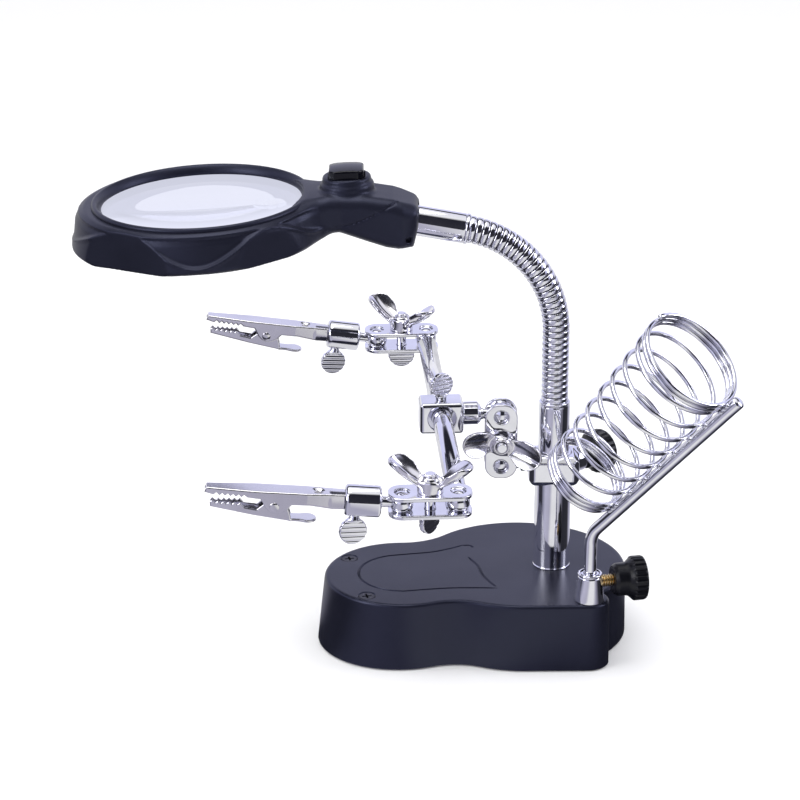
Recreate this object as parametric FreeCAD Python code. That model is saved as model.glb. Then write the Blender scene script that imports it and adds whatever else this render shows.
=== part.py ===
import FreeCAD
import Part

import math
import os

# Bench helping hands: a weighted base with a chrome post, a clamp on the post that carries a cross bar
# with two spring clips, a magnifier lamp on a gooseneck, and a coil stand for a soldering iron.
# Millimetres, +Z up. The origin is on the post's axis, in the plane of the desk.
# The base is drawn straight in this frame. The lamp and the arms are drawn in a frame of their own,
# turned about the post by WORK_TURN, because they are set at an angle to the base.

Vec = FreeCAD.Vector
X = Vec(1, 0, 0)
Y = Vec(0, 1, 0)
Z = Vec(0, 0, 1)

RUN = 0.05            # radial running clearance of everything that turns or slides
TIP_GAP = 0.5         # a loosened thumb screw's tip stands this far off what it locks
FIT = 0.03            # radial clearance of pieces that are only put together
WALL = 2.2            # moulded wall of the base and the lamp head

# Base
BASE_Y = 2.5          # the base's own centre line lies this far behind the post
BASE_TOP = 24.0
RIM_Z = 0.4           # the housing's rim hangs just clear of the desk
TOP_ROUND = 1.6
LEFT_X, LEFT_R = -52.0, 27.0
RIGHT_X, RIGHT_R = -10.3, 36.6
WAIST_R = 20.0        # hollow arcs that join the two round ends
LOBE_Y, LOBE_R = -30.0, 7.5
PAD_T = 1.0
COVER_T = 2.0
COVER_GAP = 0.15
SCREW_X, SCREW_REACH = -67.5, 15.8
SCREW_HEAD_R, SCREW_R = 2.6, 1.3
HOLD_SCREWS = ((11.0, 24.0), (-8.0, -24.0))

# Batteries
CELL_R, CELL_L = 5.25, 44.5
CELL_X = -61.5        # flat end of the cells
CELL_PITCH = 10.7
CELL_Z = 9.0
DOOR_X, DOOR_L, DOOR_W = -65.0, 52.0, 34.0
DOOR_TRAVEL_GAP = 0.2
HOLDER_WALL = 1.2

# Post
POST_R, POST_TOP, POST_BORE = 6.2, 66.0, 3.2
STEM_R, STEM_LOW = 4.0, 14.5
NUT_FLATS, NUT_H = 13.0, 5.5

# Iron stand
IRON_X, IRON_Y = 4.9, -31.5
SOCKET_TOP = 34.0
ROD_R, ROD_LOW, BEND_Z, BEND_R = 2.1, 20.5, 48.0, 9.0
LEAN_TURN, LEAN_RISE, LEAN_L = -48.5, 47.8, 78.8
WIRE_R = 0.85
COIL_START, COIL_LENGTH = 11.0, 64.5
COIL_LOW_R, COIL_HIGH_R = 13.0, 17.0
COIL_END_TURNS, COIL_MID_TURNS = 2.5, 7.0
COIL_END_PITCH = 1.75
KNOB_Z = 30.5
KNOB_HUB, KNOB_RIM = 7.9, (14.6, 18.6)     # the iron knob's hub starts and its rim runs, from the rod's axis
THREAD_START, THREAD_PITCH, THREAD_TURNS = 4.6, 0.8, 4
BRASS_R, THREAD_ROOT_R = 2.0, 1.7

# Gooseneck and lamp head, in the working frame
WORK_TURN = -11.7
FERRULE_R, FERRULE_TOP = 5.2, 84.0
NECK_RISE, NECK_ARC_R, NECK_ARC = 25.0, 36.0, 80.0
NECK_LENGTH = NECK_RISE + NECK_ARC_R * math.radians(NECK_ARC)
NECK_R = 4.55
RING_PITCH, RING_WIRE = 1.85, 1.02
SEGMENTS = 5
BALL_R, BAND = 4.5, 1.2
NECK_BORE = 1.6
HEAD_TILT, HEAD_ROLL = 2.6, 1.4
LENS_X, LENS_Z = -117.5, 155.8
LENS_R, OPENING_R, LIP_R = 34.3, 33.0, 36.2
SKIRT_R, SKIRT_SHIFT, CHANNEL_R = 41.8, 1.5, 37.5
FLATS = ((57.0, 39.4), (128.0, 39.4))    # turn from the side away from the neck, reach from the middle
RING_H, LIP_H, LENS_DEPTH = 13.6, 1.6, 3.0
LENS_EDGE, LENS_CROWN = 2.4, 2.4
INSET_X, INSET_R, INSET_CROWN = 21.0, 6.5, 2.0
SPLIT_Z = -5.0        # the two head shells meet here, at the lens's rim
HANDLE_W = 23.0
GRIP_SIDE = (         # the grip's outline from the side, from under the ring round its end and back
    (33.0, -11.5), (45.0, -12.4), (53.0, -15.4), (60.0, -18.0), (69.0, -18.8), (72.0, -12.0),
    (72.0, -5.5), (68.0, -3.2), (60.0, -1.2), (52.0, 0.2), (41.0, 0.8), (34.0, -2.0),
)
GRIP_PLAN = ((30.0, 17.0), (39.0, 13.0), (48.0, 11.5), (66.0, 11.5), (73.0, 8.5))    # half width along it
GRIP_ROOM = (         # the hollow in the grip, from the side
    (36.5, -9.0), (44.0, -10.0), (54.0, -13.0), (57.0, -13.0), (57.0, -3.2), (40.0, -2.4), (37.5, -4.6),
)
BEZEL_HALF, BEZEL_TOP = 8.2, 4.4
BUTTON_X, BUTTON_SIDE = -69.5, 11.4
LED_R, LED_TURNS = 1.5, (115.0, 245.0)

# Arms, in the working frame
CLAMP_LOW, CLAMP_TOP = 55.2, 65.6
BALL_JOINT_R = 3.8
NECK_PIN_R = 1.6
ARM_SPAN = 17.8       # ball to ball on every pair of clamp plates
LINK_X, LINK_LOW = -18.0, 61.5
LINK_HIGH = LINK_LOW + ARM_SPAN
PLATE_GAP, PLATE_T, PLATE_W = 2.4, 1.35, 11.0
PLATE_END, PLATE_ROUND = 4.4, 4.7
BOLT_R = 1.75
WING_RISE, WING_TIP_X, WING_TIP_R, WING_T = 29.0, 11.4, 4.2, 1.4
NUT_TURNS = {"link": 76.0, "far": -38.0, "near": -17.0}
KNOB_TURN = 40.0      # the post clamp's knob points away to the right
BAR_X = -38.4
BAR_TURN, BAR_TILT = 3.8, 3.2
BAR_R, BAR_NECK_R, BAR_HALF = 3.3, 1.8, 67.8
CLAMP_HALF, CLAMP_BOSS = 7.4, 6.0
FAR_PITCH, NEAR_PITCH = 8.0, 5.0
SOCKET_R, SOCKET_NEAR, SOCKET_FAR = 5.05, 6.6, 18.0

# Spring clips, measured from the ball joint along the clip
TIP_D, PIVOT_D, PIVOT_Z = 61.5, 40.0, -2.4
JAW_TOP, SHEET, JAW_HALF = 2.6, 0.7, 3.3
TEETH, TOOTH_PITCH = 5, 1.7
RIVET_R, RIVET_HEAD_R = 1.0, 1.5
PADDLE_X, PADDLE_R, PADDLE_Z = -29.5, 2.9, (-7.5, -6.6)
UPPER_CHEEK = (       # the upper jaw's lower edge, from the teeth round the rivet to the tail
    (-48.6, 0.2), (-44.6, 0.0), (-43.8, -1.2), (-42.9, -2.8), (-41.5, -4.1), (-39.8, -4.7),
    (-37.6, -4.3), (-35.8, -3.1), (-34.6, -1.5), (-29.0, -1.4), (-22.0, -2.4), (-18.0, -2.3),
)
UPPER_PLAN = ((-17.9, 2.3), (-22.0, 2.6), (-30.0, JAW_HALF), (-46.0, JAW_HALF), (-TIP_D - 1, 1.9))
LOWER_CHEEK = (       # the lower jaw's edge, from the teeth over the rivet and back along its floor
    (-49.4, -3.6), (-45.4, -4.0), (-43.8, -2.5), (-42.0, -0.9), (-38.5, -0.9), (-35.6, -3.2),
    (-34.6, -6.0), (-34.6, -7.4), (-60.0, -4.3),
)


def rod(radius, start, end):
    """A round bar from one point to another."""
    start, end = Vec(*start), Vec(*end)
    return Part.makeCylinder(radius, (end - start).Length, start, end - start)


def taper(start_r, end_r, start, end):
    """A cone from one point to another."""
    start, end = Vec(*start), Vec(*end)
    return Part.makeCone(start_r, end_r, (end - start).Length, start, end - start)


def ball(radius, centre):
    """A solid ball."""
    return Part.makeSphere(radius, Vec(*centre))


def box(low, high):
    """A box between its lowest and highest corners."""
    size = [b - a for a, b in zip(low, high)]
    return Part.makeBox(*size, Vec(*low))


def ring(major, minor, centre, axis=Z):
    """A round ring, by its middle radius and its wire radius."""
    return Part.makeTorus(major, minor, Vec(*centre), axis)


def hexagon(flats, start, end):
    """A hexagonal bar along +Z, given its size across the flats."""
    reach = flats / math.sqrt(3)
    points = []
    for corner in range(7):
        angle = math.radians(60 * corner)
        points.append(Vec(reach * math.cos(angle), reach * math.sin(angle), start))
    face = Part.Face(Part.makePolygon(points))
    return face.extrude(Vec(0, 0, end - start))


def polygon(points, low, high):
    """A prism along Y whose outline is given as (x, z) points."""
    corners = [Vec(x, low, z) for x, z in points]
    face = Part.Face(Part.makePolygon(corners + corners[:1]))
    return face.extrude(Vec(0, high - low, 0))


def join(shapes):
    """One solid from touching shapes."""
    first, rest = shapes[0], shapes[1:]
    return first.fuse(rest).removeSplitter() if rest else first


def without(shape, cutters):
    """A shape with every cutter taken away."""
    for cutter in cutters:
        shape = shape.cut(cutter)
    return shape


def group(shapes):
    """Separate solids kept together as one node."""
    return Part.makeCompound(shapes)


def placement(move=Vec(0, 0, 0), axis=Z, angle=0.0):
    """A turn about an axis followed by a move."""
    return FreeCAD.Placement(move, FreeCAD.Rotation(axis, angle))


def put(shape, where):
    """A copy of a shape, placed."""
    moved = shape.copy()
    moved.Placement = where.multiply(moved.Placement)
    return moved


WORK = placement(angle=WORK_TURN)
TOP_BALL = (LINK_X, 0.0, LINK_HIGH)
LOW_BALL = (LINK_X, 0.0, LINK_LOW)
BAR = WORK.multiply(placement(Vec(BAR_X, 0, LINK_HIGH), Z, BAR_TURN))
BAR = BAR.multiply(placement(axis=X, angle=BAR_TILT))
FAR_ARM = BAR.multiply(placement(Vec(0, BAR_HALF, 0)))
NEAR_ARM = BAR.multiply(placement(Vec(0, -BAR_HALF, 0)))
FAR_CLIP = FAR_ARM.multiply(placement(Vec(-ARM_SPAN, 0, 0), Y, FAR_PITCH))
NEAR_CLIP = NEAR_ARM.multiply(placement(Vec(-ARM_SPAN, 0, 0), Y, NEAR_PITCH))
HEAD = WORK.multiply(placement(Vec(LENS_X, 0, LENS_Z), Y, -HEAD_TILT))
HEAD = HEAD.multiply(placement(axis=X, angle=HEAD_ROLL))
KNOB_SIDE = WORK.multiply(placement(Vec(0, 0, (CLAMP_LOW + CLAMP_TOP) / 2), Z, KNOB_TURN))


# ---------------------------------------------------------------- base

def waist_centre():
    """Centre of the hollow arc that touches both round ends of the base from outside."""
    span = RIGHT_X - LEFT_X
    left, right = LEFT_R + WAIST_R, RIGHT_R + WAIST_R
    along = (span ** 2 + left ** 2 - right ** 2) / (2 * span)
    return LEFT_X + along, math.sqrt(left ** 2 - along ** 2)


def base_prism(inset, low, high):
    """The base's outline, drawn in by inset, raised from low to high."""
    wx, wy = waist_centre()
    left = rod(LEFT_R - inset, (LEFT_X, BASE_Y, low), (LEFT_X, BASE_Y, high))
    right = rod(RIGHT_R - inset, (RIGHT_X, BASE_Y, low), (RIGHT_X, BASE_Y, high))
    lobe = rod(LOBE_R - inset, (IRON_X, LOBE_Y, low), (IRON_X, LOBE_Y, high))
    share_left = LEFT_R / (LEFT_R + WAIST_R)
    share_right = RIGHT_R / (RIGHT_R + WAIST_R)
    corners = []
    for side in (1, -1):
        touch_left = (LEFT_X + share_left * (wx - LEFT_X), side * share_left * wy)
        touch_right = (RIGHT_X + share_right * (wx - RIGHT_X), side * share_right * wy)
        corners += [touch_left, touch_right] if side > 0 else [touch_right, touch_left]
    points = [Vec(x, BASE_Y + y, low) for x, y in corners]
    web = Part.Face(Part.makePolygon(points + points[:1])).extrude(Vec(0, 0, high - low))
    for side in (1, -1):
        hollow_at = BASE_Y + side * wy
        web = web.cut(rod(WAIST_R + inset, (wx, hollow_at, low - 1), (wx, hollow_at, high + 1)))
    return join([left, right, web, lobe])


def cover_screw_places():
    """The two screws at the rounded left end."""
    return [(SCREW_X, BASE_Y + s * SCREW_REACH) for s in (1, -1)]


def groove(depth, half_width=0.45):
    """The engraved line on the left end: a round end, two flared sides and a separate arc."""
    low, high = BASE_TOP - depth, BASE_TOP + 1.0
    panel_r, flare_x, arc_x, arc_r = 15.0, -38.0, -50.0, 25.5

    def band(radius, x):
        outer = rod(radius + half_width, (x, BASE_Y, low), (x, BASE_Y, high))
        return outer.cut(rod(radius - half_width, (x, BASE_Y, low - 1), (x, BASE_Y, high + 1)))

    round_end = band(panel_r, LEFT_X).common(box((LEFT_X - 20, -30, low), (LEFT_X, 30, high)))
    right_end = box((arc_x + 20, BASE_Y - 15, low), (arc_x + 30, BASE_Y + 11, high))
    far_arc = band(arc_r, arc_x).common(right_end)
    cuts = [round_end, far_arc]
    for side in (1, -1):
        near, wide = BASE_Y + side * panel_r, BASE_Y + side * (panel_r + 3.5)
        cuts.append(box((LEFT_X, near - half_width, low), (flare_x, near + half_width, high)))
        slope = [(flare_x, near), (flare_x + 12.0, wide)]
        points = [Vec(x, y + side * w, low) for (x, y), w in zip(slope, (half_width, half_width))]
        points += [Vec(x, y - side * w, low) for (x, y), w in zip(slope[::-1], (half_width, half_width))]
        cuts.append(Part.Face(Part.makePolygon(points + points[:1])).extrude(Vec(0, 0, high - low)))
    return cuts


def rounded_top(shape):
    """Round the outer edge of the base's top face."""
    outline = (LEFT_R, RIGHT_R, WAIST_R, LOBE_R)
    edges = []
    for edge in shape.Edges:
        on_top = min(v.Z for v in edge.Vertexes) > BASE_TOP - 0.01
        if on_top and isinstance(edge.Curve, Part.Circle) and edge.Curve.Radius in outline:
            edges.append(edge)
    return shape.makeFillet(TOP_ROUND, edges)


def base_housing():
    """The moulded shell, open below, with its screw holes and the engraved line."""
    outer = base_prism(0, RIM_Z, BASE_TOP)
    ceiling = BASE_TOP - WALL
    cover_top = PAD_T + COVER_T
    hollow = base_prism(WALL, RIM_Z - 1, ceiling)
    for x, y in cover_screw_places() + list(HOLD_SCREWS):
        hollow = hollow.cut(rod(3.2, (x, y, cover_top), (x, y, ceiling + 1)))
    hollow = hollow.cut(box((IRON_X - 9, IRON_Y - 9, ceiling - 6), (IRON_X + 9, IRON_Y + 6, ceiling + 1)))
    shell = outer.cut(hollow)
    holes = [rod(STEM_R + FIT, (0, 0, ceiling - 1), (0, 0, BASE_TOP + 1))]
    for x, y in cover_screw_places():
        holes.append(rod(SCREW_HEAD_R + 0.1, (x, y, BASE_TOP - 1.6), (x, y, BASE_TOP + 1)))
        holes.append(rod(SCREW_R + FIT, (x, y, 0), (x, y, BASE_TOP)))
    for x, y in HOLD_SCREWS:
        holes.append(rod(SCREW_R + FIT, (x, y, 0), (x, y, 14)))
    holes.append(rod(3.0 + FIT, (IRON_X, IRON_Y, ceiling - 8), (IRON_X, IRON_Y, BASE_TOP + 1)))
    return rounded_top(without(shell, holes + groove(0.5)))


def base_cover():
    """The bottom cover with the upright frame of the battery room."""
    plate = base_prism(WALL + COVER_GAP, PAD_T, PAD_T + COVER_T)
    top = PAD_T + COVER_T
    frame_low, frame_high = top, CELL_Z + CELL_R
    y_low, y_high = BASE_Y - DOOR_W / 2, BASE_Y + DOOR_W / 2
    x_low, x_high = DOOR_X - HOLDER_WALL, DOOR_X + DOOR_L + HOLDER_WALL
    holder = box((x_low, y_low - HOLDER_WALL, frame_low), (x_high, y_high + HOLDER_WALL, frame_high))
    holder = holder.common(base_prism(WALL + 0.4, frame_low, frame_high))
    tray = join([plate, holder])
    cuts = [box((DOOR_X, y_low, -1), (DOOR_X + DOOR_L, y_high, frame_high + 1))]
    for x, y in cover_screw_places():
        cuts.append(rod(3.4, (x, y, top), (x, y, frame_high + 1)))
        cuts.append(rod(SCREW_R + 0.1, (x, y, 0), (x, y, top + 1)))
    for x, y in HOLD_SCREWS:
        cuts.append(rod(SCREW_HEAD_R + 0.2, (x, y, 0), (x, y, PAD_T + 1.2)))
        cuts.append(rod(SCREW_R + FIT, (x, y, 0), (x, y, top + 1)))
    return without(tray, cuts)


def anti_slip_pad():
    """The rubber sheet under the cover."""
    pad = base_prism(WALL + 2.0, 0, PAD_T - 0.02)
    y_low, y_high = BASE_Y - DOOR_W / 2 - 0.4, BASE_Y + DOOR_W / 2 + 0.4
    cuts = [box((DOOR_X - 0.4, y_low, -1), (DOOR_X + DOOR_L + 0.4, y_high, 2))]
    for x, y in HOLD_SCREWS:
        cuts.append(rod(SCREW_HEAD_R + 0.6, (x, y, -1), (x, y, 2)))
    return largest(without(pad, cuts))


def battery_door():
    """The door that lifts out downwards from the cover."""
    gap = DOOR_TRAVEL_GAP
    low, high = 0.3, PAD_T + COVER_T
    y_low, y_high = BASE_Y - DOOR_W / 2 + gap, BASE_Y + DOOR_W / 2 - gap
    door = box((DOOR_X + gap, y_low, low), (DOOR_X + DOOR_L - gap, y_high, high))
    ribs = []
    for step in range(5):
        x = DOOR_X + 6 + 1.6 * step
        ribs.append(box((x, BASE_Y - 6, low - 1), (x + 0.8, BASE_Y + 6, low + 0.5)))
    return without(door, ribs)


def battery_cells():
    """Three small cells side by side."""
    cells = []
    for step in (-1, 0, 1):
        y = BASE_Y + step * CELL_PITCH
        body = rod(CELL_R, (CELL_X, y, CELL_Z), (CELL_X + CELL_L - 1.0, y, CELL_Z))
        tip = rod(1.9, (CELL_X + CELL_L - 1.0, y, CELL_Z), (CELL_X + CELL_L, y, CELL_Z))
        cell = join([body, tip])
        if step == 0:
            middle = Vec(CELL_X + CELL_L / 2, y, CELL_Z)
            cell.rotate(middle, Z, 180)
        cells.append(cell)
    return group(cells)


def battery_contacts():
    """Sprung contacts at both ends of the cells."""
    contacts = []
    plate_t, spring_gap = 0.4, 0.1
    low, high = CELL_Z - 4, CELL_Z + 4
    for step in (-1, 0, 1):
        y = BASE_Y + step * CELL_PITCH
        left = DOOR_X + 0.8
        right = DOOR_X + DOOR_L - 0.1
        contacts.append(box((left, y - 4, low), (left + plate_t, y + 4, high)))
        contacts.append(box((right - plate_t, y - 4, low), (right, y + 4, high)))
        spring_left = step != 0
        start = left + plate_t if spring_left else CELL_X + CELL_L + spring_gap
        end = CELL_X - spring_gap if spring_left else right - plate_t
        contacts.append(taper(3.6, 2.2, (start, y, CELL_Z), (end, y, CELL_Z)))
    return group(contacts)


def ballast_weight():
    """The cast iron block that fills the right end of the base."""
    low, high = PAD_T + COVER_T + 0.2, BASE_TOP - WALL - 0.8
    slab = base_prism(WALL + 1.0, low, high)
    cuts = [box((-90, -40, 0), (DOOR_X + DOOR_L + 2.0, 50, 30))]
    cuts.append(rod(9.6, (0, 0, 0), (0, 0, 30)))
    for x, y in HOLD_SCREWS:
        cuts.append(rod(3.5, (x, y, 0), (x, y, 30)))
    cuts.append(box((IRON_X - 9.5, -60, 0), (IRON_X + 9.5, IRON_Y + 7, 30)))
    return without(slab, cuts)


def screw(x, y, head_z, tip_z):
    """A countersunk-cross pan screw; head_z is the outer face of the head."""
    way = 1 if tip_z > head_z else -1
    seat = head_z + way * 1.4
    head = rod(SCREW_HEAD_R, (x, y, head_z), (x, y, seat))
    shank = rod(SCREW_R, (x, y, seat), (x, y, tip_z))
    body = join([head, shank])
    low, high = sorted((head_z - way, head_z + way * 0.8))
    for half_x, half_y in ((1.6, 0.32), (0.32, 1.6)):
        body = body.cut(box((x - half_x, y - half_y, low), (x + half_x, y + half_y, high)))
    return body


def base_screws():
    """Two cover screws from above and two holding screws from below."""
    screws = [screw(x, y, BASE_TOP - 0.2, PAD_T + 0.6) for x, y in cover_screw_places()]
    screws += [screw(x, y, PAD_T - 0.2, 12.0) for x, y in HOLD_SCREWS]
    return group(screws)


# ---------------------------------------------------------------- post

def stand_post():
    """The chrome tube with its stem and foot flange."""
    tube = rod(POST_R, (0, 0, BASE_TOP), (0, 0, POST_TOP))
    foot = rod(POST_R + 0.6, (0, 0, BASE_TOP), (0, 0, BASE_TOP + 0.6))
    stem = rod(STEM_R, (0, 0, STEM_LOW), (0, 0, BASE_TOP))
    bore = rod(POST_BORE, (0, 0, 0), (0, 0, POST_TOP + 1))
    seat = rod(4.6 + FIT, (0, 0, POST_TOP - 8), (0, 0, POST_TOP + 1))
    return without(join([tube, foot, stem]), [bore, seat])


def post_nut():
    """The hexagon nut that holds the stem from inside."""
    high = BASE_TOP - WALL
    nut = join([hexagon(NUT_FLATS, high - NUT_H, high - 0.8), rod(8.5, (0, 0, high - 0.8), (0, 0, high))])
    return nut.cut(rod(STEM_R + FIT, (0, 0, 0), (0, 0, 30)))


# ---------------------------------------------------------------- soldering iron stand

def iron_socket():
    """The tapered socket the iron stand turns in."""
    x, y = IRON_X, IRON_Y
    cone = taper(5.0, 3.9, (x, y, BASE_TOP), (x, y, SOCKET_TOP - 0.8))
    lip = ring(3.55, 0.6, (x, y, SOCKET_TOP - 0.5))
    collar = rod(3.6, (x, y, SOCKET_TOP - 1.4), (x, y, SOCKET_TOP))
    stem = rod(3.0, (x, y, 15.0), (x, y, BASE_TOP))
    bore = rod(ROD_R + RUN, (x, y, ROD_LOW - 0.2), (x, y, SOCKET_TOP + 2))
    hole = rod(2.0 + RUN, (x, y, KNOB_Z), (x + 8, y, KNOB_Z))
    return without(join([cone, collar, lip, stem]), [bore, hole])


def lean():
    """Unit vector along the leaning part of the iron stand."""
    rise, turn = math.radians(LEAN_RISE), math.radians(LEAN_TURN)
    return Vec(math.cos(rise) * math.cos(turn), math.cos(rise) * math.sin(turn), math.sin(rise))


def over_rod():
    """Unit vector square to the leaning rod, straight above it."""
    along = lean()
    up = Z - along * along.z
    return up.normalize()


def iron_rod():
    """The bent rod."""
    foot, corner = Vec(IRON_X, IRON_Y, ROD_LOW), Vec(IRON_X, IRON_Y, BEND_Z)
    along = lean()
    turn = math.radians(90 - LEAN_RISE)
    setback = BEND_R * math.tan(turn / 2)
    begin, finish = corner - Z * setback, corner + along * setback
    inward = Vec(along.x, along.y, 0).normalize()
    centre = begin + inward * BEND_R
    halfway = (begin + finish) * 0.5 - centre
    middle = centre + halfway.normalize() * BEND_R
    path = Part.Wire([
        Part.LineSegment(foot, begin).toShape(),
        Part.Arc(begin, middle, finish).toShape(),
        Part.LineSegment(finish, corner + along * LEAN_L).toShape(),
    ])
    profile = Part.Wire([Part.Circle(foot, Z, ROD_R).toShape()])
    return path.makePipeShell([profile], True, True)


def coil_radius(share):
    """Radius of the coil at a share of its length."""
    return COIL_LOW_R + (COIL_HIGH_R - COIL_LOW_R) * share


def coil_line():
    """Points of the coil wire: close turns at both ends and open ones between, on a widening cone."""
    along, up = lean(), over_rod()
    side = along.cross(up)
    turns = 2 * COIL_END_TURNS + COIL_MID_TURNS
    middle_length = COIL_LENGTH - 2 * COIL_END_TURNS * COIL_END_PITCH
    steps = int(turns * 16)
    start = Vec(IRON_X, IRON_Y, BEND_Z) + along * COIL_START
    points = []
    for step in range(steps + 1):
        turn = turns * step / steps
        low = min(turn, COIL_END_TURNS)
        high = max(turn - COIL_END_TURNS - COIL_MID_TURNS, 0)
        mid = turn - low - high
        reach = (low + high) * COIL_END_PITCH + mid * middle_length / COIL_MID_TURNS
        radius = coil_radius(reach / COIL_LENGTH)
        centre = start + along * reach + up * (radius + ROD_R + WIRE_R - 0.15)
        angle = 2 * math.pi * turn
        points.append(centre + up * (radius * math.cos(angle)) + side * (radius * math.sin(angle)))
    return points


def iron_coil():
    """The wire wound round the iron."""
    curve = Part.BSplineCurve()
    curve.interpolate(coil_line())
    path = Part.Wire([curve.toShape()])
    start, tangent = curve.value(curve.FirstParameter), curve.tangent(curve.FirstParameter)[0]
    profile = Part.Wire([Part.Circle(start, tangent, WIRE_R).toShape()])
    return path.makePipeShell([profile], True, True)


def knob(hub_start, rim_start, rim_end, hub_r=4.6, rim_r=7.5):
    """A round moulded knob on the +X axis with a ribbed rim."""
    body = join([
        rod(hub_r, (hub_start, 0, 0), (rim_start - 2.0, 0, 0)),
        taper(hub_r, rim_r - 1.2, (rim_start - 2.0, 0, 0), (rim_start, 0, 0)),
        rod(rim_r, (rim_start, 0, 0), (rim_end, 0, 0)),
    ])
    flutes = []
    for step in range(24):
        angle = math.radians(15 * step)
        y, z = (rim_r + 0.25) * math.cos(angle), (rim_r + 0.25) * math.sin(angle)
        flutes.append(rod(0.5, (rim_start - 1, y, z), (rim_end + 1, y, z)))
    return body.cut(flutes)


def iron_knob():
    """The moulded knob of the socket screw."""
    hub = knob(KNOB_HUB, *KNOB_RIM, hub_r=5.5)
    hub = hub.cut(rod(BRASS_R + FIT, (0, 0, 0), (14.0, 0, 0)))
    return put(hub, placement(Vec(IRON_X, IRON_Y, KNOB_Z)))


def iron_knob_screw():
    """The brass screw in the knob, with thread grooves where it shows."""
    shank = rod(BRASS_R, (ROD_R + TIP_GAP, 0, 0), (13.8, 0, 0))
    grooves = []
    for step in range(THREAD_TURNS):
        x = THREAD_START + THREAD_PITCH * step
        outer = rod(BRASS_R + 0.6, (x, 0, 0), (x + 0.35, 0, 0))
        grooves.append(outer.cut(rod(THREAD_ROOT_R, (x - 1, 0, 0), (x + 1, 0, 0))))
    return put(shank.cut(grooves), placement(Vec(IRON_X, IRON_Y, KNOB_Z)))


# ---------------------------------------------------------------- gooseneck

def neck_angle(reach):
    """How far the gooseneck has bent over from upright at this length along it, in radians."""
    return max(reach - NECK_RISE, 0.0) / NECK_ARC_R


def neck_point(reach):
    """Point of the neck line at a distance from its foot."""
    angle = neck_angle(reach)
    rise = min(reach, NECK_RISE)
    across = NECK_ARC_R * (1 - math.cos(angle))
    return Vec(-across, 0, FERRULE_TOP + rise + NECK_ARC_R * math.sin(angle))


def neck_tangent(reach):
    """Direction of the neck line."""
    angle = neck_angle(reach)
    return Vec(-math.sin(angle), 0, math.cos(angle))


def pivot_reach(index):
    """Length along the gooseneck of its pivot number index, from 0 at the post to SEGMENTS at the head."""
    return BAND + index * (NECK_LENGTH - 2 * BAND) / SEGMENTS


def neck_local(shape, reach):
    """Stand a shape drawn along +Z at the gooseneck's point at reach."""
    angle = -math.degrees(neck_angle(reach))
    return put(shape, placement(neck_point(reach), Y, angle))


def neck_core(radius, start, end):
    """A round bar that follows the gooseneck's line."""
    straight_end = min(end, NECK_RISE)
    edges = []
    if start < straight_end:
        edges.append(Part.LineSegment(neck_point(start), neck_point(straight_end)).toShape())
    bend_start = max(start, NECK_RISE)
    if end > bend_start:
        middle = (bend_start + end) / 2
        edges.append(Part.Arc(neck_point(bend_start), neck_point(middle), neck_point(end)).toShape())
    profile = Part.Wire([Part.Circle(neck_point(start), neck_tangent(start), radius).toShape()])
    return Part.Wire(edges).makePipeShell([profile], True, True)


def joint_ball(index):
    """The ball end that sits on a pivot: a sphere cut flat below, with a band as wide as a turn."""
    sphere = Part.makeSphere(BALL_R)
    slab = rod(BALL_R + 1, (0, 0, -2.8), (0, 0, BAND + 0.1))
    return neck_local(sphere.common(slab), pivot_reach(index))


def joint_cup(index):
    """The room that a ball end needs in the piece below it."""
    sphere = Part.makeSphere(BALL_R + RUN)
    above = rod(BALL_R + 2, (0, 0, -BAND), (0, 0, 6))
    return neck_local(sphere.fuse(above), pivot_reach(index))


def neck_coils(index):
    """The rings of one stretch of the hose."""
    start, end = pivot_reach(index), pivot_reach(index + 1)
    body = [neck_core(NECK_R - 0.55, start + BAND, end)]
    turns = int((end - start - 2 * BAND) / RING_PITCH)
    pitch = (end - start - 2 * BAND) / turns
    for turn in range(turns):
        reach = start + BAND + pitch * (turn + 0.5)
        turn_ring = ring(NECK_R - RING_WIRE, RING_WIRE, (0, 0, 0))
        body.append(neck_local(turn_ring, reach))
    shape = join(body).cut(joint_cup(index + 1))
    shape = join([shape, joint_ball(index)])
    return shape.cut(neck_core(NECK_BORE, max(start - 4, 0.0) if index else 0.0, end))


def lower_ferrule():
    """The sleeve that joins the hose to the post."""
    top = FERRULE_TOP
    sleeve = rod(FERRULE_R, (0, 0, POST_TOP + 0.02), (0, 0, top))
    spigot = rod(4.6, (0, 0, POST_TOP - 7.5), (0, 0, POST_TOP + 0.5))
    body = join([sleeve, spigot]).cut(joint_cup(0))
    return put(body.cut(rod(2.6, (0, 0, 0), (0, 0, top + 1))), WORK)


# ---------------------------------------------------------------- lamp head
# Drawn in the head's frame: origin at the centre of the lens opening, +Z out of the lens, +X to the neck.

def to_head(shape):
    """Bring a shape drawn in the working frame into the head's frame."""
    return put(shape, HEAD.inverse().multiply(WORK))


def upper_ferrule():
    """The sleeve that joins the hose to the lamp head."""
    start, end = neck_point(NECK_LENGTH), neck_point(NECK_LENGTH) + neck_tangent(NECK_LENGTH) * 27.0
    sleeve = Part.makeCylinder(5.0, 27.0, start, end - start)
    body = join([sleeve, joint_ball(SEGMENTS)])
    return body.cut(Part.makeCylinder(2.2, 33.0, start - neck_tangent(NECK_LENGTH) * 5, end - start))


def ferrule_room():
    """The bore in the grip for the upper ferrule."""
    start, along = neck_point(NECK_LENGTH), neck_tangent(NECK_LENGTH)
    return to_head(Part.makeCylinder(5.0 + FIT, 27.0 + 0.3, start, along))


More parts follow.
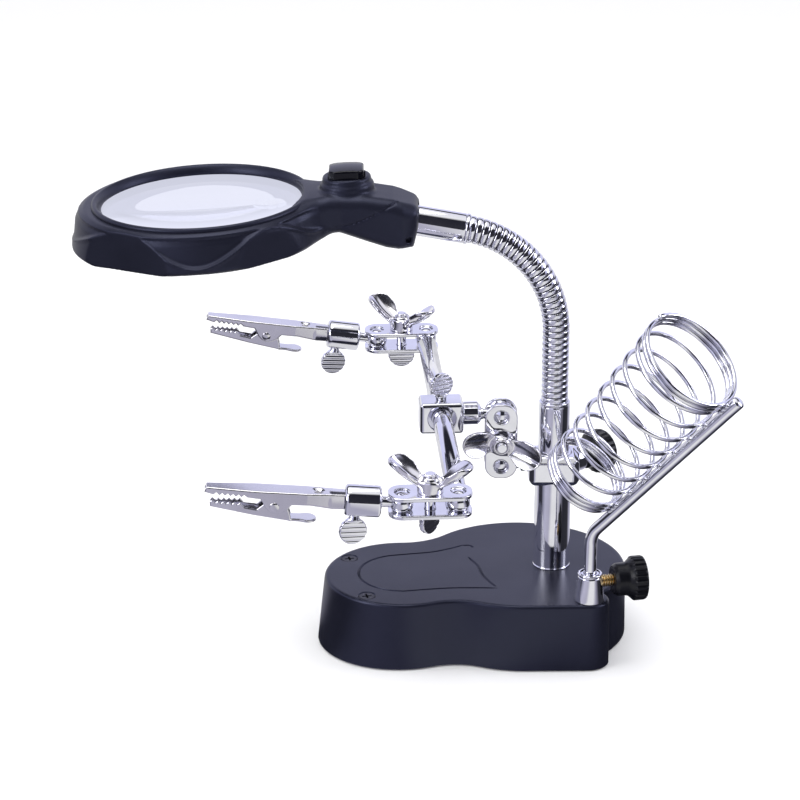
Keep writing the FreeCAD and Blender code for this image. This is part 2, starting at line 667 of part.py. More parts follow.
def head_body():
    """The outside of the lamp head: a round ring and a grip that narrows towards the neck."""
    middle = -SKIRT_SHIFT
    skirt = taper(SKIRT_R, SKIRT_R - 1.0, (middle, 0, -RING_H), (middle, 0, -5.0))
    skirt = skirt.fuse(taper(SKIRT_R - 1.0, LIP_R + 2.4, (middle, 0, -5.0), (middle, 0, -LIP_H)))
    for turn, reach in FLATS:
        for side in (1, -1):
            outside = box((-60, -60, -30), (-reach, 60, 10))
            skirt = skirt.cut(put(outside, placement(axis=Z, angle=side * turn)))
    grip = polygon(GRIP_SIDE, -HANDLE_W / 2, HANDLE_W / 2)
    plan = [Vec(x, -half, -30) for x, half in GRIP_PLAN]
    plan += [Vec(x, half, -30) for x, half in GRIP_PLAN[::-1]]
    column = Part.Face(Part.makePolygon(plan + plan[:1])).extrude(Vec(0, 0, 60))
    grip = grip.common(column)
    bezel_x = BUTTON_X - LENS_X
    bezel = box((bezel_x - BEZEL_HALF, -BEZEL_HALF, -3), (bezel_x + BEZEL_HALF, BEZEL_HALF, BEZEL_TOP))
    upright = [e for e in bezel.Edges if abs(e.tangentAt(e.FirstParameter).z) > 0.9]
    bezel = bezel.makeFillet(2.5, upright)
    return join([skirt, grip, bezel])


def head_cavity():
    """The hollow inside both head shells: a channel round the lens and a room in the grip."""
    channel = rod(CHANNEL_R, (0, 0, -RING_H + 1.8), (0, 0, -4.6))
    channel = channel.cut(rod(LENS_R + 1.3, (0, 0, -20), (0, 0, 5)))
    room = polygon(GRIP_ROOM, -HANDLE_W / 2 + 2.2, HANDLE_W / 2 - 2.2)
    return channel.fuse(room)


def lens_seat():
    """The groove that holds the edge of the lens."""
    return rod(LENS_R + FIT, (0, 0, -LENS_DEPTH - LENS_EDGE - FIT), (0, 0, -LENS_DEPTH + FIT))


def button_place():
    """The button's place along the grip."""
    return BUTTON_X - LENS_X


def led_places():
    """Middles of the two lamps."""
    middle = (LENS_R + 1.3 + CHANNEL_R) / 2
    return [(middle * math.cos(math.radians(a)), middle * math.sin(math.radians(a))) for a in LED_TURNS]


def head_screw_places():
    """Middles of the three screws."""
    return [(61.5, 7.6), (61.5, -7.6), (-36.7, 0.0)]


def head_shell(upper):
    """The upper or the lower half of the lamp head."""
    body = head_body().cut(head_cavity())
    cuts = [rod(OPENING_R, (0, 0, -30), (0, 0, 10)), lens_seat(), ferrule_room()]
    cuts.append(rod(LIP_R + FIT, (0, 0, -LIP_H - 1.0), (0, 0, 5)))
    x, half = button_place(), BUTTON_SIDE / 2
    cuts.append(box((x - half - RUN, -half - RUN, -1), (x + half + RUN, half + RUN, 8)))
    cuts.append(box((x - half - 1.0, -half - 1.0, -6.0), (x + half + 1.0, half + 1.0, 1.5)))
    for led_x, led_y in led_places():
        cuts.append(rod(LED_R + FIT, (led_x, led_y, -20), (led_x, led_y, -RING_H + 4.85)))
    for screw_x, screw_y in head_screw_places():
        floor = -17.6 if screw_x > 0 else -RING_H
        cuts.append(rod(1.0 + FIT, (screw_x, screw_y, -30), (screw_x, screw_y, -3.4)))
        cuts.append(rod(1.9, (screw_x, screw_y, -30), (screw_x, screw_y, floor + 2.0)))
    low, high = (SPLIT_Z, 20) if upper else (-30, SPLIT_Z - 0.01)
    keep = box((-60, -60, low), (90, 60, high))
    shell = without(body, cuts).common(keep)
    return largest(shell)


def largest(shape):
    """The biggest solid of a shape, which drops slivers a cut may leave."""
    return max(shape.Solids, key=lambda solid: solid.Volume)


def lens_ring():
    """The rolled trim ring round the lens."""
    outer = rod(LIP_R, (0, 0, -LIP_H - 1.0), (0, 0, 0))
    outer = outer.fuse(ring(LIP_R - 1.0, 1.0, (0, 0, 0)))
    return outer.cut(rod(OPENING_R, (0, 0, -9), (0, 0, 5)))


def main_lens():
    """A lens with a round-edged rim and two curved faces."""
    middle = -LENS_DEPTH - LENS_EDGE / 2
    rim = rod(LENS_R, (0, 0, middle - LENS_EDGE / 2), (0, 0, middle + LENS_EDGE / 2))
    radius = (OPENING_R ** 2 + LENS_CROWN ** 2) / (2 * LENS_CROWN)
    faces = []
    for side in (1, -1):
        centre = middle + side * (LENS_EDGE / 2 + LENS_CROWN - radius)
        sphere = ball(radius, (0, 0, centre))
        keep = rod(OPENING_R - 0.4, (0, 0, middle), (0, 0, middle + side * 12))
        faces.append(sphere.common(keep))
    return join([rim] + faces)


def inset_lens():
    """The small strong lens bonded under the main one, near the grip."""
    middle = -LENS_DEPTH - LENS_EDGE / 2
    radius = (INSET_R ** 2 + INSET_CROWN ** 2) / (2 * INSET_CROWN)
    bottom = middle - LENS_EDGE / 2 - LENS_CROWN - 0.4
    dome = ball(radius, (INSET_X, 0, bottom + radius))
    puck = rod(INSET_R, (INSET_X, 0, bottom - 1), (INSET_X, 0, middle - 1.0)).common(dome)
    puck = rod(INSET_R, (INSET_X, 0, bottom + INSET_CROWN), (INSET_X, 0, middle - 1.0)).fuse(puck)
    return largest(puck.cut(main_lens()))


def led_lamps():
    """Two round-nosed lamps."""
    lamps = []
    for x, y in led_places():
        low = -RING_H + 0.4
        stem = rod(LED_R, (x, y, low), (x, y, low + 4.4))
        dome = ball(LED_R, (x, y, low))
        lamps.append(join([stem, dome]))
    return group(lamps)


def power_button():
    """The square button with its retaining flange."""
    x, half = button_place(), BUTTON_SIDE / 2
    cap = box((x - half, -half, -1.0), (x + half, half, 8.2))
    edges = [e for e in cap.Edges if abs(e.tangentAt(e.FirstParameter).z) > 0.9]
    cap = cap.makeFillet(2.0, edges)
    rim = [e for e in cap.Edges if min(v.Z for v in e.Vertexes) > 8.1]
    cap = cap.makeFillet(0.9, rim)
    flange = box((x - half - 0.8, -half - 0.8, 0.0), (x + half + 0.8, half + 0.8, 1.3))
    return join([cap, flange])


def head_screws():
    """Three slotted screws from below."""
    screws = []
    for x, y in head_screw_places():
        floor = -17.6 if x > 0 else -RING_H
        head = rod(1.8, (x, y, floor + 0.7), (x, y, floor + 1.9))
        shank = rod(1.0, (x, y, floor + 1.9), (x, y, -3.6))
        slot = box((x - 0.9, y - 0.2, floor), (x + 0.9, y + 0.2, floor + 1.2))
        screws.append(join([head, shank]).cut(slot))
    return group(screws)


# ---------------------------------------------------------------- clamps and arms

def thumb_paddle(radius, centre_z, thickness=1.9):
    """A ribbed round thumb plate that stands on edge, seen face on along Y."""
    half = thickness / 2
    disc = rod(radius, (0, -half, centre_z), (0, half, centre_z))
    ribs = []
    for step in range(-2, 3):
        z = centre_z + step * radius * 0.36
        for face in (-half, half):
            ribs.append(box((-radius, face - 0.25, z - 0.3), (radius, face + 0.25, z + 0.3)))
    return disc.cut(ribs)


def thumb_screw(shank_r, inner, outer, disc_r):
    """A thumb screw along -Z: shank from inner to outer, then the paddle."""
    shank = rod(shank_r, (0, 0, inner), (0, 0, -outer - 1.6))
    return join([shank, thumb_paddle(disc_r, -outer - disc_r - 0.7)])


def wing_nut():
    """A two-winged nut on +Z, standing on its seat at z 0."""
    hub = taper(4.3, 3.3, (0, 0, 0), (0, 0, 4.2))
    hub = join([hub, taper(3.3, 2.6, (0, 0, 4.2), (0, 0, 5.2))])
    half = WING_T / 2
    arm = box((2.2, -2.8, -half), (WING_TIP_X, 2.8, half))
    petal = rod(WING_TIP_R, (WING_TIP_X, 0, -half), (WING_TIP_X, 0, half))
    wing = join([arm, petal]).cut(ball(8.0, (10.6, 0, 7.7)))
    wings = []
    for side in (0, 180):
        raised = put(wing, placement(Vec(0, 0, 1.5), Y, -WING_RISE))
        wings.append(put(raised, placement(axis=Z, angle=side)))
    nut = join([hub] + wings)
    nut = nut.cut(box((-20, -20, -5), (20, 20, 0)))
    return nut.cut(rod(BOLT_R + RUN, (0, 0, -1), (0, 0, 12)))


def clamp_plates():
    """Two plates between ball joints at x 0 and x -ARM_SPAN, gripping the balls from above and below."""
    plates = []
    for side in (1, -1):
        low, high = sorted((side * PLATE_GAP, side * (PLATE_GAP + PLATE_T)))
        half = PLATE_W / 2
        plate = box((-ARM_SPAN - PLATE_END, -half, low), (PLATE_END, half, high))
        upright = [e for e in plate.Edges if abs(e.tangentAt(e.FirstParameter).z) > 0.9]
        plate = plate.makeFillet(PLATE_ROUND, upright)
        for x in (0, -ARM_SPAN):
            plate = plate.cut(ball(BALL_JOINT_R + RUN, (x, 0, 0)))
            plate = plate.cut(rod(2.3, (x, 0, low - 1), (x, 0, high + 1)))
        plate = plate.cut(rod(BOLT_R + RUN, (-ARM_SPAN / 2, 0, low - 1), (-ARM_SPAN / 2, 0, high + 1)))
        plates.append(plate)
    return group(plates)


def clamp_bolt():
    """The bolt through the middle of a pair of plates, with a half-round ribbed head below."""
    seat = PLATE_GAP + PLATE_T
    shank = rod(BOLT_R, (0, 0, -seat - 0.6), (0, 0, seat + 6.2))
    collar = rod(2.9, (0, 0, -seat - 1.0), (0, 0, -seat - 0.02))
    paddle = thumb_paddle(4.3, -seat - 1.8).common(box((-9, -9, -seat - 12), (9, 9, -seat - 0.5)))
    bolt = join([shank, collar, paddle])
    return put(bolt, placement(Vec(-ARM_SPAN / 2, 0, 0)))


def clamp_wing_nut(turn):
    """The wing nut of a pair of plates, turned as it was left."""
    seat = PLATE_GAP + PLATE_T + 0.03
    return put(wing_nut(), placement(Vec(-ARM_SPAN / 2, 0, seat), Z, turn))


def post_clamp():
    """The block round the post."""
    half_x, half_y = 8.6, 7.6
    block = box((-half_x, -half_y, CLAMP_LOW), (half_x, half_y, CLAMP_TOP))
    block = block.makeChamfer(1.8, block.Edges)
    boss = rod(2.9, (-11.2, 0, LINK_LOW), (-5.0, 0, LINK_LOW))
    side = rod(4.6, (0, 0, 0), (12.0, 0, 0))
    side = put(side, WORK.inverse().multiply(KNOB_SIDE))
    bore = rod(POST_R + RUN, (0, 0, 0), (0, 0, 100))
    pin = rod(2.0 + RUN, (-20, 0, LINK_LOW), (-7.2, 0, LINK_LOW))
    hole = put(rod(2.0 + RUN, (0, 0, 0), (20, 0, 0)), WORK.inverse().multiply(KNOB_SIDE))
    return without(join([block, boss, side]), [bore, pin, hole])


def post_clamp_knob():
    """The knob that locks the block."""
    shank = rod(2.0, (POST_R + TIP_GAP, 0, 0), (18.0, 0, 0))
    cap = knob(13.0, 19.5, 23.5)
    return join([shank, cap])


def ball_arc(centre, neck_r, side):
    """Outline of a ball on the Y axis at centre, from its neck (radius neck_r) round to its far pole."""
    meet = math.sqrt(BALL_JOINT_R ** 2 - neck_r ** 2)
    slant = math.radians(60)
    neck = Vec(neck_r, centre - side * meet, 0)
    middle = Vec(BALL_JOINT_R * math.sin(slant), centre + side * BALL_JOINT_R * math.cos(slant), 0)
    pole = Vec(0, centre + side * BALL_JOINT_R, 0)
    return neck, Part.Arc(neck, middle, pole).toShape(), pole


def turned(arcs, points):
    """A piece turned about the Y axis, from its arcs and the corners of its straight stretch."""
    edges = list(arcs)
    for a, b in zip(points, points[1:]):
        edges.append(Part.LineSegment(a, b).toShape())
    wire = Part.Wire(Part.__sortEdges__(edges))
    return Part.Face(wire).revolve(Vec(0, 0, 0), Y, 360)


def ball_stud(neck_end, pin_end):
    """A ball at the origin with a neck and a pin along +X."""
    neck, arc, pole = ball_arc(0, NECK_PIN_R, -1)
    corners = [(NECK_PIN_R, neck_end), (2.0, neck_end), (2.0, pin_end), (0, pin_end)]
    points = [neck] + [Vec(x, y, 0) for x, y in corners] + [pole]
    return put(turned([arc], points), placement(axis=Z, angle=-90))


def post_ball_stud():
    """The stud from the block to the link."""
    stud = ball_stud(5.3, -LINK_X - 7.4)
    return put(stud, placement(Vec(*LOW_BALL)))


def bar_ball_stud():
    """The stud from the link to the bar clamp."""
    stud = put(ball_stud(6.2, 11.5), placement(axis=Z, angle=180))
    return put(stud, placement(Vec(*TOP_BALL)))


def bar_clamp():
    """The block that the cross bar slides through, with a hexagon boss for the ball stud."""
    block = box((-CLAMP_HALF, -5.0, -5.6), (CLAMP_HALF, 5.0, 5.4))
    block = block.makeChamfer(0.8, block.Edges)
    mouth = [taper(4.6, BAR_R + RUN, (0, s * 5.1, 0), (0, s * 3.6, 0)) for s in (1, -1)]
    boss = put(hexagon(7.8, CLAMP_HALF - 1.0, CLAMP_HALF + CLAMP_BOSS), placement(axis=Y, angle=90))
    tilt = BAR.inverse().multiply(WORK)
    boss = boss.common(box((0, -9, -9), (CLAMP_HALF + CLAMP_BOSS, 9, 9)))
    seat = rod(2.0 + RUN, (LINK_X - 5.0, 0, LINK_HIGH), (LINK_X - 11.7, 0, LINK_HIGH))
    seat = put(seat, tilt)
    bore = rod(BAR_R + RUN, (0, -9, 0), (0, 9, 0))
    hole = rod(1.6 + RUN, (0, 0, 2), (0, 0, 9))
    return without(join([block, boss]), mouth + [seat, bore, hole])


def bar_clamp_screw():
    """The thumb screw that locks the cross bar."""
    screw_up = thumb_screw(1.6, -BAR_R - TIP_GAP, 5.6, 4.25)
    upright = put(screw_up, placement(axis=X, angle=180))
    return put(upright, placement(axis=Z, angle=25))


def cross_bar():
    """A round bar whose turned-down ends carry a ball each."""
    shoulder = BAR_HALF - 6.9
    low_neck, low_arc, low_pole = ball_arc(-BAR_HALF, BAR_NECK_R, -1)
    high_neck, high_arc, high_pole = ball_arc(BAR_HALF, BAR_NECK_R, 1)
    flare = shoulder + 1.2
    corners = [(BAR_NECK_R, -flare), (BAR_R, -shoulder), (BAR_R, shoulder), (BAR_NECK_R, flare)]
    points = [low_neck] + [Vec(x, y, 0) for x, y in corners] + [high_neck]
    edges = [low_arc, high_arc, Part.LineSegment(low_pole, high_pole).toShape()]
    return turned(edges, points)


# Clip pieces are drawn with the ball joint at the origin and the clip along -X.

def clip_stud():
    """The stud from the plates into the clip socket."""
    return put(ball_stud(SOCKET_NEAR - 0.4, SOCKET_NEAR + 4.0), placement(axis=Z, angle=180))


def clip_socket():
    """The round socket at the tail of the clip."""
    body = rod(SOCKET_R, (-SOCKET_NEAR, 0, 0), (-SOCKET_FAR, 0, 0))
    body = body.makeChamfer(0.4, [e for e in body.Edges if e.Closed])
    cuts = [rod(2.0 + RUN, (0, 0, 0), (-SOCKET_NEAR - 4.2, 0, 0))]
    cuts.append(rod(3.2, (-SOCKET_NEAR - 4.8, 0, 0), (-SOCKET_FAR - 1, 0, 0)))
    cuts.append(rod(1.5 + RUN, (-14.6, 0, 0), (-14.6, 0, -9)))
    return without(body, cuts)


def socket_screw():
    """The thumb screw under the socket."""
    return put(thumb_screw(1.5, -2.65, SOCKET_R + 0.4, 4.5), placement(Vec(-14.6, 0, 0), Z, 12))


def plan_column(half_widths, low, high):
    """An upright prism whose outline is given as (x, half width) pairs."""
    points = [Vec(x, -half, low) for x, half in half_widths]
    points += [Vec(x, half, low) for x, half in half_widths[::-1]]
    return Part.Face(Part.makePolygon(points + points[:1])).extrude(Vec(0, 0, high - low))


def upper_jaw():
    """Long fixed jaw: a folded channel with a round cheek over the rivet, and a tail in the socket."""
    top, tip = JAW_TOP, -TIP_D
    side = [(-18.0, top), (tip, top), (tip - 0.6, 0.9), (-59.2, 0.2), (-58.3, 1.1)]
    for tooth in range(TEETH):
        x = -57.3 + TOOTH_PITCH * tooth
        side += [(x, 0.1), (x + 0.85, 1.0)]
    outer = polygon(side + list(UPPER_CHEEK), -JAW_HALF, JAW_HALF)
    plan = plan_column(UPPER_PLAN, -9, 11)
    wall = JAW_HALF - SHEET
    room = ((-23.0, 1.9), (-30.0, wall), (-46.0, wall), (tip + 0.8, 1.95 - SHEET))
    hollow = plan_column(room, -9, top - SHEET)
    rivet_hole = rod(RIVET_R + RUN, (-PIVOT_D, -9, PIVOT_Z), (-PIVOT_D, 9, PIVOT_Z))
    tail = rod(2.55, (-12.0, 0, 0), (-22.5, 0, 0)).cut(rod(1.8, (-11, 0, 0), (-21.5, 0, 0)))
    shell = outer.common(plan).cut(hollow).cut(rivet_hole)
    shell = shell.cut(rod(2.0, (-17, 0, 0), (-21.5, 0, 0)))
    return join([shell, tail])


def lower_jaw():
    """Short moving jaw inside the upper one, with a thumb paddle."""
    half = JAW_HALF - SHEET - 0.12
    side = [(-60.2, -2.6), (-59.3, -2.0)]
    for tooth in range(TEETH):
        x = -58.4 + TOOTH_PITCH * tooth
        side += [(x, -2.9), (x + 0.85, -2.1)]
    outer = polygon(side + list(LOWER_CHEEK), -half, half)
    plan = plan_column(((-33.0, half), (-46.0, half), (-61.0, 1.15)), -12, 8)
    hollow = plan_column(((-34.0, half - 0.6), (-46.0, half - 0.6), (-58.5, 0.6)), -12, 8)
    floor = polygon([(-60.0, -4.3), (-34.6, -7.4), (-34.6, -6.7), (-60.0, -3.6)], -half, half).common(plan)
    rivet_hole = rod(RIVET_R + RUN, (-PIVOT_D, -9, PIVOT_Z), (-PIVOT_D, 9, PIVOT_Z))
    body = outer.common(plan).cut(hollow).cut(rivet_hole).fuse(floor)
    low, high = PADDLE_Z
    strip = box((-35.2, -2.4, low), (PADDLE_X, 2.4, high))
    paddle = join([strip, rod(PADDLE_R, (PADDLE_X, 0, low), (PADDLE_X, 0, high))])
    return join([body, paddle])


def clip_rivet():
    """The rivet both jaws turn on."""
    shank = rod(RIVET_R, (-PIVOT_D, -JAW_HALF - 0.25, PIVOT_Z), (-PIVOT_D, JAW_HALF + 0.25, PIVOT_Z))
    heads = []
    for side in (1, -1):
        start, end = side * (JAW_HALF + 0.02), side * (JAW_HALF + 0.45)
        heads.append(rod(RIVET_HEAD_R, (-PIVOT_D, start, PIVOT_Z), (-PIVOT_D, end, PIVOT_Z)))
    return join([shank] + heads)


def clip_spring():
    """The coiled body of the clip's torsion spring, round the rivet."""
    half = JAW_HALF - SHEET - 0.9
    tube = rod(1.95, (-PIVOT_D, -half, PIVOT_Z), (-PIVOT_D, half, PIVOT_Z))
    tube = tube.cut(rod(1.2, (-PIVOT_D, -9, PIVOT_Z), (-PIVOT_D, 9, PIVOT_Z)))
    grooves = []
    turns = 4
    for step in range(turns + 1):
        y = -half + 2 * half * step / turns
        grooves.append(ring(2.0, 0.16, (-PIVOT_D, y, PIVOT_Z), Y))
    return tube.cut(grooves)


# ---------------------------------------------------------------- the whole object

def base_nodes():
    """Everything that stands on the desk."""
    return {
        "base_housing": base_housing(),
        "base_cover": base_cover(),
        "anti_slip_pad": anti_slip_pad(),
        "ballast_weight": ballast_weight(),
        "base_screws": base_screws(),
        "battery_door": battery_door(),
        "battery_cells": battery_cells(),
        "battery_contacts": battery_contacts(),
        "stand_post": stand_post(),
        "post_nut": post_nut(),
        "iron_socket": iron_socket(),
        "iron_rod": iron_rod(),
        "iron_coil": iron_coil(),
        "iron_knob": iron_knob(),
        "iron_knob_screw": iron_knob_screw(),
        "lower_ferrule": lower_ferrule(),
    }


def lamp_nodes():
    """The gooseneck and the lamp head."""
    nodes = {f"neck_coils_{index + 1}": put(neck_coils(index), WORK) for index in range(SEGMENTS)}
    nodes["upper_ferrule"] = put(upper_ferrule(), WORK)
    nodes["head_upper_shell"] = put(head_shell(True), HEAD)
    nodes["head_lower_shell"] = put(head_shell(False), HEAD)
    nodes["lens_ring"] = put(lens_ring(), HEAD)
    nodes["main_lens"] = put(main_lens(), HEAD)
    nodes["inset_lens"] = put(inset_lens(), HEAD)
    nodes["led_lamps"] = put(led_lamps(), HEAD)
    nodes["power_button"] = put(power_button(), HEAD)
    nodes["head_screws"] = put(head_screws(), HEAD)
    return nodes


def clamp_nodes():
    """The clamps between the post and the cross bar."""
    link = WORK.multiply(link_place())
    return {
        "post_clamp": put(post_clamp(), WORK),
        "post_clamp_knob": put(post_clamp_knob(), KNOB_SIDE),
        "post_ball_stud": put(post_ball_stud(), WORK),
        "link_plates": put(clamp_plates(), link),
        "link_bolt": put(clamp_bolt(), link),
        "link_wing_nut": put(clamp_wing_nut(NUT_TURNS["link"]), link),
        "bar_ball_stud": put(bar_ball_stud(), WORK),
        "bar_clamp": put(bar_clamp(), BAR),
        "bar_clamp_screw": put(bar_clamp_screw(), BAR),
        "cross_bar": put(cross_bar(), BAR),
    }


def link_place():
    """Stands the flat clamp upright: its x 0 ball on top and its nut towards the front."""
    return FreeCAD.Placement(Vec(*TOP_BALL), FreeCAD.Rotation(Z, Vec(-1, 0, 0), Vec(0, -1, 0), "XZY"))


def arm_nodes(name, arm, clip):
    """One end of the cross bar: plates, studs and clip."""
    return {
        f"{name}_arm_plates": put(clamp_plates(), arm),
        f"{name}_arm_bolt": put(clamp_bolt(), arm),
        f"{name}_wing_nut": put(clamp_wing_nut(NUT_TURNS[name]), arm),
        f"{name}_clip_stud": put(clip_stud(), clip),
        f"{name}_clip_socket": put(clip_socket(), clip),
        f"{name}_socket_screw": put(socket_screw(), clip),
        f"{name}_upper_jaw": put(upper_jaw(), clip),
        f"{name}_lower_jaw": put(lower_jaw(), clip),
        f"{name}_clip_rivet": put(clip_rivet(), clip),
        f"{name}_clip_spring": put(clip_spring(), clip),
    }


def main():
    """Write every piece as a STEP file."""
    os.makedirs("parts", exist_ok=True)
    nodes = {}
    nodes.update(base_nodes())
    nodes.update(lamp_nodes())
    nodes.update(clamp_nodes())
    nodes.update(arm_nodes("far", FAR_ARM, FAR_CLIP))
    nodes.update(arm_nodes("near", NEAR_ARM, NEAR_CLIP))
    for name, shape in nodes.items():
        shape.exportStep(f"parts/{name}.step")


if __name__ == "__main__":
    main()
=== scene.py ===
import math

import bmesh
import bpy
import numpy as np
from mathutils import Matrix, Vector


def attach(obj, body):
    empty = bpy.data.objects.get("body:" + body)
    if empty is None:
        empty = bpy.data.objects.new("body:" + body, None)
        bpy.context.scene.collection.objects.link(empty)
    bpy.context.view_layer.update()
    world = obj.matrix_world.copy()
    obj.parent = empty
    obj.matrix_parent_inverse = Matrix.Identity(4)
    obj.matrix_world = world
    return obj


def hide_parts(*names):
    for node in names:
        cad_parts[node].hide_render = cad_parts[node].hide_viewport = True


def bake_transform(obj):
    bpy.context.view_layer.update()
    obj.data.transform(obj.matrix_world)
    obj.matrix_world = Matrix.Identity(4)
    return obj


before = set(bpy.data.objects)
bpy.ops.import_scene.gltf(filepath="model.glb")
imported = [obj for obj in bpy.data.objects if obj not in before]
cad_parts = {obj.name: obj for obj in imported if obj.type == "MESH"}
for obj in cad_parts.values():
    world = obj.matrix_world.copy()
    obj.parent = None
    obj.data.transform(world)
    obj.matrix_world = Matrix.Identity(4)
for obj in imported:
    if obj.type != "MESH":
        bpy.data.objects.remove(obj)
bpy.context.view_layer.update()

MM = 0.001


# ---------------------------------------------------------------- places, in millimetres

def turn(angle, axis):
    return Matrix.Rotation(math.radians(angle), 4, axis)


def move(x, y, z):
    return Matrix.Translation((x, y, z))


def frame_of(origin, x_axis, y_axis, z_axis):
    rows = Matrix((x_axis, y_axis, z_axis)).transposed().to_4x4()
    return move(*origin) @ rows


HERE = Matrix.Identity(4)
WORK = turn(-11.7, "Z")
BAR_HALF, ARM_SPAN = 67.8, 17.8
TOP_BALL, LOW_BALL = (-18.0, 0.0, 79.3), (-18.0, 0.0, 61.5)
BAR = WORK @ move(-38.4, 0, 79.3) @ turn(3.8, "Z") @ turn(3.2, "X")
ARM = {"far": BAR @ move(0, BAR_HALF, 0), "near": BAR @ move(0, -BAR_HALF, 0)}
CLIP = {
    "far": ARM["far"] @ move(-ARM_SPAN, 0, 0) @ turn(8.0, "Y"),
    "near": ARM["near"] @ move(-ARM_SPAN, 0, 0) @ turn(5.0, "Y"),
}
LINK = WORK @ frame_of(TOP_BALL, (0, 0, 1), (-1, 0, 0), (0, -1, 0))
HEAD = WORK @ move(-117.5, 0, 155.8) @ turn(-2.6, "Y") @ turn(1.4, "X")
KNOB_SIDE = WORK @ move(0, 0, 60.4) @ turn(40.0, "Z")
IRON_KNOB = move(4.9, -31.5, 30.5)


# ---------------------------------------------------------------- materials

def new_material(name):
    material = bpy.data.materials.new(name)
    material.use_nodes = True
    tree = material.node_tree
    shader = tree.nodes["Principled BSDF"]
    return material, tree, shader


def node(tree, kind, **inputs):
    """A shader node. An input is a value, or another node's output to link from."""
    made = tree.nodes.new(kind)
    for key, value in inputs.items():
        socket = made.inputs[key.replace("_", " ")]
        if isinstance(value, bpy.types.NodeSocket):
            tree.links.new(value, socket)
        else:
            socket.default_value = value
    return made


def noise(tree, scale, detail):
    place = node(tree, "ShaderNodeTexCoord").outputs["Object"]
    made = node(tree, "ShaderNodeTexNoise", Vector=place, Scale=scale, Detail=detail)
    return made.outputs["Fac"]


def ramp(tree, source, low, high):
    made = tree.nodes.new("ShaderNodeValToRGB")
    stops = made.color_ramp.elements
    stops[0].position, stops[1].position = 0.35, 0.65
    stops[0].color, stops[1].color = low, high
    tree.links.new(source, made.inputs["Fac"])
    return made.outputs["Color"]


def grey(value):
    return (value, value, value, 1.0)


METAL_GRAIN_DEPTH, PLASTIC_GRAIN_DEPTH = 0.00004, 0.00006      # metres


def bump(tree, shader, source, strength, distance):
    made = node(tree, "ShaderNodeBump", Height=source, Strength=strength, Distance=distance)
    tree.links.new(made.outputs["Normal"], shader.inputs["Normal"])


def metal(name, colour, roughness, wear=0.05, grain=2600.0, bumps=0.04):
    """Plated or turned metal: the finish wanders a little and has a fine grain."""
    material, tree, shader = new_material(name)
    shader.inputs["Metallic"].default_value = 1.0
    cloud = noise(tree, 90.0, 4.0)
    darker = tuple(c * 0.9 for c in colour[:3]) + (1.0,)
    tree.links.new(ramp(tree, cloud, darker, colour), shader.inputs["Base Color"])
    tree.links.new(ramp(tree, cloud, grey(roughness), grey(roughness + wear)), shader.inputs["Roughness"])
    bump(tree, shader, noise(tree, grain, 2.0), bumps, METAL_GRAIN_DEPTH)
    return material


def plastic(name, colour, roughness, grain=3500.0, bumps=0.25, tint=(1.0, 1.0, 1.0), specular=0.5):
    """Moulded plastic with a fine sparked texture."""
    material, tree, shader = new_material(name)
    cloud = noise(tree, 45.0, 3.0)
    lighter = tuple(min(c * 1.25, 1.0) for c in colour[:3]) + (1.0,)
    tree.links.new(ramp(tree, cloud, colour, lighter), shader.inputs["Base Color"])
    tree.links.new(ramp(tree, cloud, grey(roughness), grey(roughness + 0.06)), shader.inputs["Roughness"])
    shader.inputs["Specular IOR Level"].default_value = specular
    shader.inputs["Specular Tint"].default_value = tint + (1.0,)
    bump(tree, shader, noise(tree, grain, 2.0), bumps, PLASTIC_GRAIN_DEPTH)
    return material


def clear(name, colour, ior, roughness=0.0):
    material, tree, shader = new_material(name)
    shader.inputs["Base Color"].default_value = colour
    shader.inputs["Transmission Weight"].default_value = 1.0
    shader.inputs["IOR"].default_value = ior
    haze = ramp(tree, noise(tree, 160.0, 3.0), grey(roughness), grey(roughness + 0.012))
    tree.links.new(haze, shader.inputs["Roughness"])
    return material


def map_range(tree, value, low, high, top=1.0):
    """Value taken from low..high to 0..top, and held at the ends."""
    made = node(tree, "ShaderNodeMapRange", Value=value, From_Min=low, From_Max=high, To_Max=top)
    return made.outputs["Result"]


def mix_shaders(tree, factor, a, b):
    made = tree.nodes.new("ShaderNodeMixShader")
    for socket, value in zip(made.inputs, (factor, a, b)):
        tree.links.new(value, socket)
    tree.links.new(made.outputs[0], tree.nodes["Material Output"].inputs["Surface"])


def add_painted_reflection(material, colour):
    """Paints a reflection on a clear face: a pale glowing emission mixed in, strongest where the face is seen at
    a low angle.
    """
    tree = material.node_tree
    facing = node(tree, "ShaderNodeLayerWeight", Blend=0.5).outputs["Facing"]
    share = map_range(tree, facing, 0.42, 0.62, 0.74)
    # Painted reflection: the lens glows with this colour though it is no lamp.
    glow = node(tree, "ShaderNodeEmission", Color=colour)
    mix_shaders(tree, share, tree.nodes["Principled BSDF"].outputs[0], glow.outputs[0])
    return material


CHROME = metal("polished_chrome", (0.86, 0.86, 0.91, 1.0), 0.035)
CAST_CHROME = metal("cast_chrome", (0.84, 0.83, 0.86, 1.0), 0.09, 0.08, 900.0, 0.12)
CLIP_STEEL = metal("plated_steel", (0.80, 0.79, 0.81, 1.0), 0.10, 0.07, 1500.0, 0.08)
SPRING_STEEL = metal("spring_steel", (0.55, 0.55, 0.58, 1.0), 0.22, 0.08)
BRASS = metal("turned_brass", (0.88, 0.70, 0.40, 1.0), 0.22, 0.1)
CAST_IRON = metal("cast_iron", (0.13, 0.13, 0.14, 1.0), 0.55, 0.2, 700.0, 0.7)
# Real black oxide on the screws; on the gooseneck the same material is painted shade in the clefts.
BLACK_OXIDE_AND_CLEFT_SHADE = metal("black_oxide_and_cleft_shade", (0.06, 0.06, 0.07, 1.0), 0.28, 0.1)
LAVENDER = (0.62, 0.66, 1.0)
SHELL_PLASTIC = plastic("shell_plastic", (0.0062, 0.0066, 0.0125, 1.0), 0.36, tint=LAVENDER, specular=0.42)
BASE_PLASTIC = plastic("base_plastic", (0.0062, 0.0066, 0.0125, 1.0), 0.30, tint=LAVENDER, specular=0.52)
